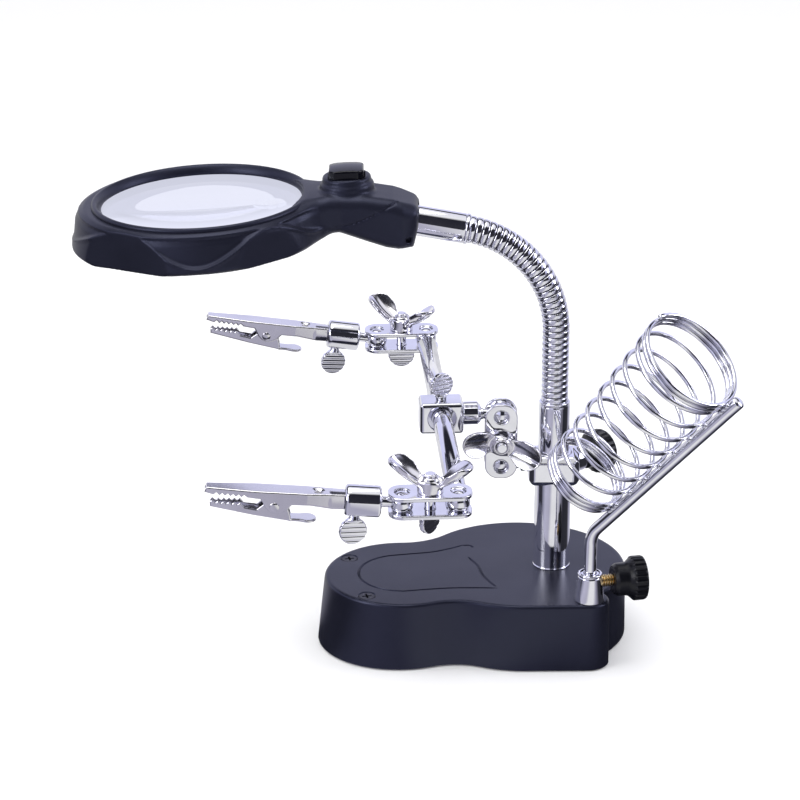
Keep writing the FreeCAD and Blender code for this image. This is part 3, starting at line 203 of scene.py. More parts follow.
KNOB_PLASTIC = plastic("knob_plastic", (0.0030, 0.0032, 0.0055, 1.0), 0.28, bumps=0.15, specular=0.3)
BUTTON_PLASTIC = plastic("button_plastic", (0.0020, 0.0021, 0.0042, 1.0), 0.14, bumps=0.03, specular=0.28)
PAD_RUBBER = plastic("pad_rubber", (0.03, 0.03, 0.033, 1.0), 0.85, 1200.0, 0.8, specular=0.2)
CELL_WRAP = plastic("cell_wrap", (0.30, 0.31, 0.35, 1.0), 0.30, bumps=0.02)
# Both lenses get a painted reflection: a lavender-white emission mixed over the clear shader.
LENS = add_painted_reflection(clear("lens_plastic", (0.985, 0.99, 1.0, 1.0), 1.25), (0.83, 0.85, 1.0, 1.0))
LED_CLEAR = clear("led_plastic", (0.95, 0.95, 0.90, 1.0), 1.5, 0.05)


# ---------------------------------------------------------------- meshes

def smooth_step(t):
    t = np.clip(t, 0, 1)
    return t * t * (3 - 2 * t)


def piece(name, points, faces, place, body, material, stands_for=()):
    """A mesh given in millimetres in its own frame becomes an object that rides on a body."""
    mesh = bpy.data.meshes.new(name)
    matrix = np.array(place, float)
    points = np.asarray(points, float)
    world = (points @ matrix[:3, :3].T + matrix[:3, 3]) * MM
    mesh.from_pydata(world.tolist(), [], [list(map(int, f)) for f in faces])
    mesh.materials.append(material)
    mesh.shade_smooth()
    mesh.validate()
    made = bpy.data.objects.new(name, mesh)
    bpy.context.scene.collection.objects.link(made)
    if body:
        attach(made, body)
    if stands_for:
        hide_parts(*stands_for)
    return made


def grid_faces(rows, around):
    """Four-sided faces between closed rings of points."""
    faces = []
    for row in range(rows - 1):
        for step in range(around):
            a, b = row * around + step, row * around + (step + 1) % around
            faces.append((a, b, b + around, a + around))
    return faces


def end_faces(rows, around):
    """The flat faces that close the first ring and the last."""
    last = (rows - 1) * around
    return [list(range(around))[::-1], list(range(last, last + around))]


def full_turn(around):
    return [2 * math.pi * step / around for step in range(around)]


def round_corners(outline, radius):
    """An open outline of (r, z) corners with each inner corner rounded."""
    steps = 3
    made = [outline[0]]
    for before, corner, after in zip(outline, outline[1:], outline[2:]):
        a, b, c = (np.array(p, float) for p in (before, corner, after))
        u, v = a - b, c - b
        lu, lv = np.linalg.norm(u), np.linalg.norm(v)
        cut = min(radius, lu * 0.45, lv * 0.45)
        start, end = b + u / lu * cut, b + v / lv * cut
        for step in range(steps + 1):
            t = step / steps
            made.append(tuple((1 - t) ** 2 * start + 2 * t * (1 - t) * b + t ** 2 * end))
    made.append(outline[-1])
    return made


def arc(centre, radius, start, end, steps):
    """Points (r, z) on an arc, angles in degrees from +r."""
    made = []
    for step in range(steps + 1):
        angle = math.radians(start + (end - start) * step / steps)
        made.append((centre[0] + radius * math.cos(angle), centre[1] + radius * math.sin(angle)))
    return made


def lathe(name, outline, place, body, material, stands_for, round_by, around, flute=None):
    """Turns an outline of (r, z) about the Z axis. flute(angle, r, z) gives a change of radius."""
    profile = round_corners(outline, round_by) if round_by else outline
    rows = len(profile)
    points = []
    for r, z in profile:
        for angle in full_turn(around):
            reach = max(r, 0.0)
            if flute and reach > 0:
                reach += flute(angle, r, z)
            points.append((reach * math.cos(angle), reach * math.sin(angle), z))
    faces = grid_faces(rows, around)
    if math.dist(profile[0], profile[-1]) > 1e-6:
        ends = zip((profile[0], profile[-1]), end_faces(rows, around))
        faces += [face for (r, _), face in ends if r > 1e-6]
    made = piece(name, points, faces, place, body, material, stands_for)
    clean(made)
    made.data.set_sharp_from_angle(angle=math.radians(40))
    return made


def turned(name, outline, place, body, stands_for, round_by=0.0, around=64):
    """A turned chrome piece."""
    return lathe(name, outline, place, body, CHROME, [stands_for], round_by, around)


def clean(made):
    """Welds doubled points and turns every face outwards."""
    work = bmesh.new()
    work.from_mesh(made.data)
    bmesh.ops.remove_doubles(work, verts=work.verts, dist=1e-7)
    bmesh.ops.dissolve_degenerate(work, edges=work.edges, dist=1e-8)
    bmesh.ops.recalc_face_normals(work, faces=work.faces)
    work.to_mesh(made.data)
    work.free()
    made.data.shade_smooth()


# A bar's rounded end, as pairs: how far in along its dome, and the share of the bar's radius there.
DOME = [(0.0, 0.35), (0.45, 0.85), (0.85, 0.98)]


def tube(name, line, radius, place, body, material, stands_for, around):
    """A round bar that follows a line of points, with rounded ends."""
    line = np.asarray(line, float)
    tangents = np.gradient(line, axis=0)
    tangents /= np.linalg.norm(tangents, axis=1)[:, None]
    side = np.cross(tangents[0], (0.31, 0.22, 0.92))
    rings = []
    for point, along in zip(line, tangents):
        side = side - along * np.dot(side, along)
        side /= np.linalg.norm(side)
        rings.append((point, along, side, np.cross(along, side), radius))
    for end, sign in ((rings[0], -1), (rings[-1], 1)):
        dome = [(end[0] + sign * end[1] * radius * 0.35 * (1 - t),) + end[1:4] + (radius * s,) for t, s in DOME]
        rings = dome + rings if sign < 0 else rings + dome[::-1]
    points = []
    for point, along, side, other, reach in rings:
        points += [point + reach * (side * math.cos(a) + other * math.sin(a)) for a in full_turn(around)]
    faces = grid_faces(len(rings), around) + end_faces(len(rings), around)
    made = piece(name, points, faces, place, body, material, stands_for)
    clean(made)
    return made


# ---------------------------------------------------------------- solid fields
# A field gives the distance from a surface in millimetres, below zero inside. p is a tuple of x, y, z arrays.

def f_ball(p, centre, radius):
    x, y, z = (a - c for a, c in zip(p, centre))
    return np.sqrt(x * x + y * y + z * z) - radius


def along_line(p, a, b):
    """How far along the line from a to b, the distance from it, and the line's length."""
    a, b = np.array(a, float), np.array(b, float)
    length = np.linalg.norm(b - a)
    d = (b - a) / length
    x, y, z = (c - o for c, o in zip(p, a))
    t = x * d[0] + y * d[1] + z * d[2]
    r = np.sqrt(np.maximum(x * x + y * y + z * z - t * t, 0.0))
    return t, r, length


def corner(u, v, soft=0.0):
    """Both u and v must be inside. The edge where they meet is rounded by soft."""
    if soft:
        u, v = u + soft, v + soft
        outside = np.sqrt(np.maximum(u, 0) ** 2 + np.maximum(v, 0) ** 2)
        return outside + np.minimum(np.maximum(u, v), 0) - soft
    return np.maximum(u, v)


def f_rod(p, radius, a, b, soft=0.2):
    t, r, length = along_line(p, a, b)
    return corner(r - radius, np.abs(t - length / 2) - length / 2, soft)


def f_cone(p, ra, rb, a, b, soft=0.2):
    t, r, length = along_line(p, a, b)
    slope = (rb - ra) / length
    side = (r - (ra + slope * t)) / math.sqrt(1 + slope * slope)
    return corner(side, np.abs(t - length / 2) - length / 2, soft)


def f_box(p, low, high, soft=0.3):
    sides = [np.abs(a - (l + h) / 2) - (h - l) / 2 + soft for a, l, h in zip(p, low, high)]
    outside = np.sqrt(sum(np.maximum(s, 0) ** 2 for s in sides))
    return outside + np.minimum(np.maximum(np.maximum(sides[0], sides[1]), sides[2]), 0) - soft


def f_polygon(u, v, corners):
    """Signed distance of a flat outline."""
    corners = np.asarray(corners, float)
    best = np.full(u.shape, 1e9)
    inside = np.zeros(u.shape, bool)
    for (ax, ay), (bx, by) in zip(corners, np.roll(corners, -1, axis=0)):
        ex, ey = bx - ax, by - ay
        wx, wy = u - ax, v - ay
        t = np.clip((wx * ex + wy * ey) / (ex * ex + ey * ey + 1e-12), 0, 1)
        best = np.minimum(best, (wx - ex * t) ** 2 + (wy - ey * t) ** 2)
        if ay != by:
            crosses = ((ay <= v) != (by <= v)) & (u < ax + (v - ay) * ex / (by - ay))
            inside ^= crosses
    return np.where(inside, -1, 1) * np.sqrt(best)


def cut_out(body, *tools):
    """Takes tools out of a body with sharp edges."""
    for tool in tools:
        body = np.maximum(body, -tool)
    return body


def f_hole(u, v, radius, at=(0.0, 0.0)):
    """An endless round bar along the axis that isn't given."""
    return np.hypot(u - at[0], v - at[1]) - radius


def blend_in(a, b, k):
    """Union with a smooth fillet of about k."""
    h = np.maximum(k - np.abs(a - b), 0) / k
    return np.minimum(a, b) - h * h * k / 4


def blend_cut(a, b, k):
    """Cut b out of a with a smooth edge."""
    return -blend_in(-a, b, k)


def f_block(p, centre, half, chamfer, soft, edge):
    """A box with flat chamfers along its edges."""
    low, high = ([c + side * h for c, h in zip(centre, half)] for side in (-1, 1))
    block = f_box(p, low, high, soft)
    away = [np.abs(a - c) - h for a, c, h in zip(p, centre, half)]
    for u, v in ((0, 1), (0, 2), (1, 2)):
        block = blend_cut(block, -(away[u] + away[v] + chamfer) / math.sqrt(2), edge)
    return block


def moved(p, matrix):
    """Points as seen from a frame placed by matrix."""
    m = np.array(matrix.inverted(), float)
    x, y, z = p
    return tuple(m[i, 0] * x + m[i, 1] * y + m[i, 2] * z + m[i, 3] for i in range(3))


def net(field, low, high, step):
    """Points and four-sided faces of a field's zero surface."""
    axes = [np.arange(l, h + step, step) for l, h in zip(low, high)]
    d = field(np.meshgrid(*axes, indexing="ij"))
    cells = np.array(d.shape) - 1
    owners, marks, quads = [], [], []
    for axis in range(3):
        a = np.take(d, range(d.shape[axis] - 1), axis)
        b = np.take(d, range(1, d.shape[axis]), axis)
        crossing = (a < 0) != (b < 0)
        index = np.argwhere(crossing)
        va, vb = a[crossing], b[crossing]
        mark = index.astype(float)
        mark[:, axis] += va / (va - vb)
        u, v = (axis + 1) % 3, (axis + 2) % 3
        ring = []
        for du, dv in ((0, 0), (-1, 0), (-1, -1), (0, -1)):
            cell = index.copy()
            cell[:, u] += du
            cell[:, v] += dv
            ring.append(np.ravel_multi_index(cell.T, cells))
        owners += ring
        marks += [mark] * 4
        quad = np.stack(ring, 1)
        quad[va > 0] = quad[va > 0][:, ::-1]
        quads.append(quad)
    owners, marks, quads = np.concatenate(owners), np.concatenate(marks), np.concatenate(quads)
    used, back = np.unique(owners, return_inverse=True)
    count = np.bincount(back)
    points = np.stack([np.bincount(back, marks[:, i]) / count for i in range(3)], 1)
    points = points * step + np.array(low, float)
    for _ in range(3):
        points = settle(field, points, step)
    return points, np.searchsorted(used, quads)


def settle(field, points, step):
    """Moves points on to the zero surface."""
    h = 0.02
    here = field(tuple(points.T))
    slope = []
    for axis in range(3):
        ahead, behind = points.copy(), points.copy()
        ahead[:, axis] += h
        behind[:, axis] -= h
        slope.append((field(tuple(ahead.T)) - field(tuple(behind.T))) / (2 * h))
    slope = np.stack(slope, 1)
    size = np.maximum((slope ** 2).sum(1), 0.25)
    shift = slope * (here / size)[:, None]
    length = np.linalg.norm(shift, axis=1)
    limit = 0.4 * step
    shift *= np.minimum(1, limit / np.maximum(length, 1e-9))[:, None]
    return points - shift


def carve(name, field, low, high, step, place, body, material, stands_for):
    """A piece cut to a field's zero surface."""
    points, faces = net(field, low, high, step)
    return piece(name, points, faces, place, body, material, stands_for)


# ---------------------------------------------------------------- base

BASE_Y, BASE_TOP, RIM_Z, WALL = 2.5, 24.0, 0.4, 2.2
LEFT = (-52.0, BASE_Y, 27.0)
RIGHT = (-10.3, BASE_Y, 36.6)
LOBE = (4.9, -30.0, 7.5)
WAIST_R, DRAFT, END_FLARE = 20.0, 0.4, 2.2
TOP_EDGE = ((0.03, 22.9), (0.12, 23.3), (0.32, 23.65), (0.6, 23.87), (0.95, 23.97), (1.5, BASE_TOP))


def touch_points():
    """Centre offset of the hollow arcs, from the centres of the two round ends."""
    span = RIGHT[0] - LEFT[0]
    left, right = LEFT[2] + WAIST_R, RIGHT[2] + WAIST_R
    along = (span ** 2 + left ** 2 - right ** 2) / (2 * span)
    return LEFT[0] + along, math.sqrt(left ** 2 - along ** 2)


def sweep_arc(centre, radius, start, end, steps):
    angles = np.radians(np.linspace(start, end, steps + 1))
    return [(centre[0] + radius * math.cos(a), centre[1] + radius * math.sin(a)) for a in angles]


def base_outline(inset):
    """The base's outline seen from above, drawn in by inset, turning left from the front waist."""
    wx, wy = touch_points()
    to_left = math.degrees(math.atan2(wy, wx - LEFT[0]))
    to_right = math.degrees(math.atan2(wy, wx - RIGHT[0]))
    left, right, waist = LEFT[2] - inset, RIGHT[2] - inset, WAIST_R + inset
    lobe = LOBE[2] - inset
    dx, dy = LOBE[0] - RIGHT[0], LOBE[1] - RIGHT[1]
    span = math.hypot(dx, dy)
    toward = math.degrees(math.atan2(dy, dx))
    on_right = math.degrees(math.acos((span ** 2 + right ** 2 - lobe ** 2) / (2 * span * right)))
    on_lobe = math.degrees(math.acos((span ** 2 + lobe ** 2 - right ** 2) / (2 * span * lobe)))
    points = sweep_arc((wx, BASE_Y - wy), waist, 180 - to_left, 180 - to_right, 20)[:-1]
    outer_turn = toward - math.degrees(math.acos((right - lobe) / span))
    points += sweep_arc(RIGHT, right, -to_right, outer_turn, 14)
    points += sweep_arc(LOBE, lobe, outer_turn, toward + 180 - on_lobe, 30)[:-1]
    points += sweep_arc(RIGHT, right, toward + on_right, to_right, 90)[:-1]
    points += sweep_arc((wx, BASE_Y + wy), waist, 180 + to_right, 180 + to_left, 20)[:-1]
    points += sweep_arc(LEFT, left, to_left, 360 - to_left, 90)[:-1]
    return points


def base_layers():
    """(inset, height) pairs from the housing's inner ceiling round its rim to the middle of its top."""
    layers = [(WALL + 0.2, BASE_TOP - WALL), (WALL, BASE_TOP - WALL - 0.4), (WALL, RIM_Z + 0.2)]
    layers += [(WALL - 0.2, RIM_Z), (0.25, RIM_Z), (0.0, RIM_Z + 0.25)]
    layers += [(DRAFT * (z - RIM_Z) / BASE_TOP, z) for z in (6.0, 12.0, 18.0, 21.6)]
    return layers + [(DRAFT + r, z) for r, z in TOP_EDGE]


def base_mesh():
    outlines = [(base_outline(inset), z) for inset, z in base_layers()]
    around = len(outlines[0][0])
    points = []
    for outline, z in outlines:
        flare = END_FLARE * (1 - z / BASE_TOP)
        points += [(x - flare * smooth_step((LEFT[0] + 14.0 - x) / 40.0), y, z) for x, y in outline]
    return points, grid_faces(len(outlines), around) + end_faces(len(outlines), around)


def cutter(name, points, faces):
    mesh = bpy.data.meshes.new(name)
    mesh.from_pydata([tuple(c * MM for c in p) for p in points], [], faces)
    made = bpy.data.objects.new(name, mesh)
    bpy.context.scene.collection.objects.link(made)
    clean(made)
    return made


def cut_away(made, cutters):
    """Takes cutters out of a piece for good."""
    for tool in cutters:
        change = made.modifiers.new("cut", "BOOLEAN")
        change.object, change.operation, change.solver = tool, "DIFFERENCE", "EXACT"
    graph = bpy.context.evaluated_depsgraph_get()
    result = bpy.data.meshes.new_from_object(made.evaluated_get(graph))
    made.modifiers.clear()
    made.data = result
    for tool in cutters:
        bpy.data.objects.remove(tool)


def round_cutter(name, centre, profile):
    """A turned cutter: profile is (radius, z) from bottom to top."""
    around = 48
    points = []
    for r, z in profile:
        points += [(centre[0] + r * math.cos(a), centre[1] + r * math.sin(a), z) for a in full_turn(around)]
    return cutter(name, points, grid_faces(len(profile), around) + end_faces(len(profile), around))


def groove_cutter(name, line):
    """A V-shaped channel cutter that follows a line on the top face."""
    half_width, depth = 0.5, 0.55
    line = np.array(line, float)
    along = np.gradient(line, axis=0)
    along /= np.linalg.norm(along, axis=1)[:, None]
    side = np.stack([-along[:, 1], along[:, 0]], 1)
    shape = ((-1.0, 0.5), (-1.0, 0.0), (-0.55, -0.7), (0.0, -1.0), (0.55, -0.7), (1.0, 0.0), (1.0, 0.5))
    points = []
    count, rows = len(shape), len(line)
    for index, ((x, y), (sx, sy)) in enumerate(zip(line, side)):
        end = min(index, rows - 1 - index)
        narrow = (0.35, 0.8, 1.0)[min(end, 2)]
        for u, w in shape:
            height = w * depth * (narrow if w < 0 else 1.0)
            points.append((x + sx * u * half_width * narrow, y + sy * u * half_width * narrow, BASE_TOP + height))
    return cutter(name, points, grid_faces(rows, count) + end_faces(rows, count))


def smooth_line(points, steps):
    """A smooth curve through points (Catmull-Rom)."""
    points = [np.array(p, float) for p in points]
    points = [2 * points[0] - points[1]] + points + [2 * points[-1] - points[-2]]
    made = []
    for a, b, c, d in zip(points, points[1:], points[2:], points[3:]):
        for step in range(steps):
            t = step / steps
            square, cube = 2 * a - 5 * b + 4 * c - d, 3 * b - a - 3 * c + d
            made.append(0.5 * (2 * b + (c - a) * t + square * t * t + cube * t ** 3))
    made.append(points[-2])
    return made


def build_base():
    points, faces = base_mesh()
    housing = piece("base_housing_moulding", points, faces, HERE, None, BASE_PLASTIC)
    clean(housing)
    panel = [(-26.2, 21.3), (-31.0, 19.4), (-38.0, 17.6), (-46.0, 17.5), (-52.0, 17.5)]
    panel += sweep_arc(LEFT, 15.0, 100, 262, 26)
    panel += [(-46.0, -12.6), (-38.0, -13.2), (-30.0, -14.7), (-23.0, -16.4)]
    far_hook = smooth_line([(-26.6, 20.9), (-24.4, 20.6), (-23.6, 19.6), (-23.4, 18.4)], 6)
    far_arc = smooth_line([(-26.9, 10.7), (-25.3, 3.0), (-25.4, -4.1), (-24.6, -10.0), (-23.2, -15.4)], 8)
    tools = [
        groove_cutter("panel_line", smooth_line(panel, 4)),
        groove_cutter("panel_hook", far_hook),
        groove_cutter("panel_arc", far_arc),
    ]
    cup = [(1.33, RIM_Z - 1), (1.33, 22.4), (2.75, 22.4), (2.75, 23.6), (3.15, BASE_TOP), (3.15, BASE_TOP + 1)]
    for side in (1, -1):
        tools.append(round_cutter(f"screw_cup_{side}", (-67.5, BASE_Y + side * 15.8), cup))
    tools.append(round_cutter("stem_hole", (0.0, 0.0), [(4.05, 20.0), (4.05, 26.0)]))
    tools.append(round_cutter("socket_hole", (4.9, -31.5), [(3.05, 20.0), (3.05, 26.0)]))
    cut_away(housing, tools)
    housing.data.shade_smooth()
    housing.data.set_sharp_from_angle(angle=math.radians(32))
    weighted = housing.modifiers.new("even_shading", "WEIGHTED_NORMAL")
    weighted.keep_sharp = True
    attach(housing, "base")
    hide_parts("base_housing")


POST = [
    (3.3, 14.5), (4.0, 14.5), (4.0, 24.0), (6.45, 24.0), (6.45, 24.35), (6.2, 24.6), (6.2, 65.3), (5.9, 65.9),
    (4.7, 66.0), (4.7, 58.0), (3.3, 58.0), (3.3, 14.5),
]


# ---------------------------------------------------------------- soldering iron stand

ROD_R, WIRE_R = 2.1, 0.85
FOOT = np.array((4.9, -31.5, 20.5))
BEND = np.array((4.9, -31.5, 48.0))
RISE, SWING = math.radians(47.8), math.radians(-48.5)
LEAN = np.array((math.cos(RISE) * math.cos(SWING), math.cos(RISE) * math.sin(SWING), math.sin(RISE)))
OVER = np.array((0.0, 0.0, 1.0)) - LEAN * LEAN[2]
OVER /= np.linalg.norm(OVER)


def rod_line():
    bend_r, length = 9.0, 78.8
    angle = math.pi / 2 - RISE
    setback = bend_r * math.tan(angle / 2)
    start = BEND - np.array((0, 0, setback))
    inward = np.array((LEAN[0], LEAN[1], 0.0))
    inward /= np.linalg.norm(inward)
    centre = start + inward * bend_r
    points = [FOOT + (start - FOOT) * t for t in np.linspace(0, 1, 8)[:-1]]
    for t in np.linspace(0, angle, 12):
        points.append(centre - inward * bend_r * math.cos(t) + np.array((0, 0, bend_r * math.sin(t))))
    end = BEND + LEAN * length
    points += [points[-1] + (end - points[-1]) * t for t in np.linspace(0, 1, 16)[1:]]
    return points


def coil_line():
    """The stand's wire: close turns at both ends and open ones between, on a widening cone."""
    low_r, high_r, end_turns, mid_turns, pitch, length = 13.0, 17.0, 2.5, 7.0, 1.75, 64.5
    side = np.cross(LEAN, OVER)
    turns = 2 * end_turns + mid_turns
    steps = int(turns * 40)
    start = BEND + LEAN * 11.0
    points = []
    for step in range(steps + 1):
        at = turns * step / steps
        low, high = min(at, end_turns), max(at - end_turns - mid_turns, 0)
        reach = (low + high) * pitch + (at - low - high) * (length - 2 * end_turns * pitch) / mid_turns
        radius = low_r + (high_r - low_r) * reach / length
        centre = start + LEAN * reach + OVER * (radius + ROD_R + WIRE_R - 0.15)
        angle = 2 * math.pi * at
        points.append(centre + OVER * (radius * math.cos(angle)) + side * (radius * math.sin(angle)))
    return points


def knob_flute(rim_start, rim_end):
    def change(angle, r, z):
        if r < 6.5 or z < rim_start - 0.3 or z > rim_end - 0.2:
            return 0.0
        return -0.42 * max(0.0, math.cos(24 * angle)) ** 2
    return change


def knob_outline(hub, rim_start, rim_end, hub_r=4.6):
    back = rim_end - 0.45
    return [
        (2.05, hub), (hub_r - 0.8, hub), (hub_r, hub + 1.2), (hub_r + 0.1, rim_start - 2.6),
        (hub_r + 0.3, rim_start - 1.8), (6.7, rim_start - 0.7), (7.5, rim_start), (7.5, rim_start + 0.7),
        (7.5, rim_end - 0.7), (7.2, rim_end), (6.0, rim_end), (5.4, back), (0.0, back),
    ]


def build_knob(name, outline, rim, place, body):
    lathe(f"{name}_moulded", outline, place @ turn(90, "Y"), body, KNOB_PLASTIC, [name],
          0.2, 192, knob_flute(*rim))


IRON_RIM, CLAMP_RIM = (14.6, 18.6), (19.5, 23.5)      # where each knob's ribbed rim starts and ends
IRON_SOCKET = [
    (3.0, 15.0), (3.0, 24.0), (5.05, 24.0), (5.0, 24.6), (4.0, 32.6), (3.75, 32.9), (3.95, 33.1), (4.15, 33.5),
    (3.95, 33.9), (3.4, 34.05), (2.2, 33.9), (2.2, 21.0), (2.2, 15.0), (3.0, 15.0),
]


def brass_screw():
    """Outline of the iron stand's thumb screw, with its visible turns of thread."""
    root, crest, pitch = 1.5, 2.1, 0.86
    outline = [(0.0, ROD_R + 0.3), (root, ROD_R + 0.3)]
    for z in (2.7 + pitch * step for step in range(6)):
        outline += [(root, z), (crest, z + 0.33), (crest, z + 0.5), (root, z + 0.83)]
    return outline + [(1.98, 7.95), (1.98, 13.8), (0.0, 13.8)]


def build_iron_stand():
    turned("iron_socket_turned", IRON_SOCKET, move(FOOT[0], FOOT[1], 0), "base", "iron_socket", 0.3)
    tube("iron_rod_bent", rod_line(), ROD_R, HERE, "iron_stand", CHROME, ["iron_rod"], 24)
    tube("iron_coil_wound", coil_line(), WIRE_R, HERE, "iron_stand", CHROME, ["iron_coil"], 12)
    build_knob("iron_knob", knob_outline(7.9, *IRON_RIM, 5.5), IRON_RIM, IRON_KNOB, "iron_knob")
    lathe("iron_thumb_screw", brass_screw(), IRON_KNOB @ turn(90, "Y"), "iron_knob", BRASS, ["iron_knob_screw"],
          0, 48)


# ---------------------------------------------------------------- gooseneck

FERRULE_TOP, NECK_RISE, NECK_ARC_R, NECK_ARC = 84.0, 25.0, 36.0, 80.0
NECK_LENGTH = NECK_RISE + NECK_ARC_R * math.radians(NECK_ARC)
SEGMENTS, BAND, PITCH, NECK_R = 5, 1.2, 2.15, 4.62
BAND_SHARE = 0.80                  # of each turn that is the flat bright band


def neck_at(reach):
    """Point on the gooseneck's line and the direction along it."""
    angle = max(reach - NECK_RISE, 0.0) / NECK_ARC_R
    height = FERRULE_TOP + min(reach, NECK_RISE) + NECK_ARC_R * math.sin(angle)
    point = np.array((-NECK_ARC_R * (1 - math.cos(angle)), 0.0, height))
    along = np.array((-math.sin(angle), 0.0, math.cos(angle)))
    return point, along


def pivot_reach(index):
    return BAND + index * (NECK_LENGTH - 2 * BAND) / SEGMENTS


def winding(reach):
    """Radius of the wound hose: flat bright turns with a narrow dark cleft between."""
    phase = reach / PITCH % 1.0
    away = abs(phase - 0.5) * 2
    if away < BAND_SHARE:
        return NECK_R - 0.12 * (away / BAND_SHARE) ** 2
    fall = (away - BAND_SHARE) / (1 - BAND_SHARE)
    return NECK_R - 0.12 - 0.60 * fall


def neck_piece(name, start, end, nodes):
    """One stretch of the hose between two lengths along its line, cut square at its ends."""
    around, per_turn = 48, 14
    rows = max(int((end - start) / PITCH * per_turn), 4)
    points = []
    for reach in (start + (end - start) * row / rows for row in range(rows + 1)):
        point, along = neck_at(reach)
        across, aside = np.cross(along, (0.0, 1.0, 0.0)), np.array((0.0, 1.0, 0.0))
        radius = winding(reach)
        points += [point + radius * (across * math.cos(a) + aside * math.sin(a)) for a in full_turn(around)]
    faces = grid_faces(rows + 1, around) + end_faces(rows + 1, around)
    made = piece(name, points, faces, WORK, None, CHROME, nodes)
    # Faces deep in each cleft between turns get the dark material as painted shade in the crease.
    made.data.materials.append(BLACK_OXIDE_AND_CLEFT_SHADE)
    for face in list(made.data.polygons)[:rows * around]:
        reach = start + (end - start) * (face.index // around + 0.5) / rows
        if winding(reach) < NECK_R - 0.42:
            face.material_index = 1
    clean(made)
    return made


LOWER_FERRULE = [
    (4.6, 58.5), (4.6, 66.02), (5.0, 66.02), (5.25, 66.4), (5.25, 82.6), (5.05, 83.2), (5.25, 83.5), (5.2, 84.1),
    (4.5, 84.25), (4.0, 82.0), (2.6, 81.0), (2.6, 58.5), (4.6, 58.5),
]
UPPER_FERRULE = [
    (2.6, 0.5), (4.3, 0.1), (4.9, -0.25), (5.1, 0.15), (5.1, 0.9), (4.85, 1.15), (5.0, 1.5), (5.0, 27.0),
    (2.6, 27.0),
]


def build_neck():
    """Each stretch runs from the middle of one CAD segment to the next's, over the pivot between."""
    middles = [(pivot_reach(i) + pivot_reach(i + 1)) / 2 for i in range(SEGMENTS)]
    middles = [0.0] + middles + [NECK_LENGTH]
    for index in range(SEGMENTS + 1):
        low, high = middles[index], middles[index + 1]
        nodes = [f"neck_coils_{index + 1}"] if index < SEGMENTS else []
        made = neck_piece(f"gooseneck_{index + 1}", low - 0.02, high + 0.02, nodes)
        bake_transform(made)
    turned("lower_ferrule_turned", LOWER_FERRULE, WORK, "base", "lower_ferrule", 0.18, 96)
    point, along = neck_at(NECK_LENGTH)
    across = np.cross(along, (0.0, 1.0, 0.0))
    place = WORK @ frame_of(point, tuple(across), (0.0, 1.0, 0.0), tuple(along))
    turned("upper_ferrule_turned", UPPER_FERRULE, place, "lamp_head", "upper_ferrule", 0.18, 96)


# ---------------------------------------------------------------- lamp head

OPENING_R, RING_H = 33.0, 13.6
SKIRT_SHIFT = -1.5
SKIRT_SECTION = [
    (0, 0.8 - RING_H), (40.4, 0.8 - RING_H), (41.2, 1.6 - RING_H), (40.7, -9.0), (39.8, -4.6), (38.6, -2.6),
    (37.0, -1.8), (0, -1.8),
]
# Flats on the skirt: the angle from the side away from the neck, and how far out the flat is.
SCOOPS = ((57.0, 39.3), (128.0, 39.3))
HANDLE_SIDE = [
    (26.0, -10.5), (36.0, -10.9), (45.0, -12.0), (53.0, -15.2), (60.0, -17.9), (64.0, -18.7), (69.0, -18.5),
    (71.2, -12.0), (72.4, -6.4), (70.6, -4.6), (63.0, -1.8), (53.0, 0.1), (42.0, 0.8), (34.0, -0.8), (26.0, -3.5),
]
HANDLE_PLAN = [
    (26.0, -16.5), (33.0, -15.2), (39.0, -12.8), (46.0, -11.6), (56.0, -11.5), (66.0, -11.3), (71.0, -9.6),
    (73.0, -7.0),
]
BUTTON_X, CAP_HALF, WELL_HALF = 48.0, 5.7, 5.85
LED_R = 36.55
LED_PLACES = [(LED_R * math.cos(math.radians(a)), LED_R * math.sin(math.radians(a))) for a in (115.0, 245.0)]
RING_ROOM = [(35.6, -10.8), (37.5, -10.8), (37.5, -5.2), (35.6, -5.2)]      # groove inside the lens ring
GRIP_START = 40.0                  # the shells' joint line shows from here


def wave_height(side):
    """Height of the raised wavy line round the skirt, by angle from the side away from the neck."""
    marks = np.radians([0.0, 57.0, 91.0, 128.0, 160.0, 180.0])
    heights = np.array([-11.6, -2.2, -11.6, -2.2, -9.0, -9.0])
    made = np.full(side.shape, heights[0])
    for a, b, low, high in zip(marks, marks[1:], heights, heights[1:]):
        share = smooth_step((side - a) / (b - a))
        made = np.where(side >= a, low + (high - low) * share, made)
    return made


def f_skirt(p):
    x, y, z = p
    r = np.hypot(x - SKIRT_SHIFT, y)
    side = np.arctan2(np.abs(y), -x)
    above_line = z - wave_height(side)
    near_tip = 1.0 - 0.75 * np.exp(-(side / 0.45) ** 2)
    ridge = 0.45 * near_tip * np.exp(-(above_line / 0.42) ** 2)
    hollow = 1.25 * near_tip * smooth_step(above_line / 1.3) * smooth_step((-1.6 - z) / 1.2)
    z = z + 0.028 * np.maximum(-x, 0.0) * smooth_step((-2.0 - z) / 8.0)
    outer = f_polygon(r - ridge + hollow, z, SKIRT_SECTION) - 0.8
    for angle, reach in SCOOPS:
        t = math.radians(angle)
        flat = np.abs(y) * math.sin(t) - x * math.cos(t) - reach + 0.03 * (z + RING_H)
        outer = blend_cut(outer, -flat, 0.35)
    return cut_out(outer, f_hole(x, y, OPENING_R + 0.6)) * 0.85


def f_handle(p):
    x, y, z = p
    plan = HANDLE_PLAN + [(a, -b) for a, b in HANDLE_PLAN[::-1]]
    return corner(f_polygon(x, z, HANDLE_SIDE), f_polygon(x, y, plan), 4.2)


def seam_height(x):
    """The curved joint line between the two shells on the grip."""
    return -9.2 + 7.6 * smooth_step((x - 44.0) / 26.0)


def ferrule_line():
    """The upper ferrule's axis, seen from the head."""
    point, along = neck_at(NECK_LENGTH)
    back = HEAD.inverted() @ WORK
    return tuple(back @ Vector(point - along * 3.0)), tuple(back @ Vector(point + along * 27.4))


FERRULE_LINE = ferrule_line()


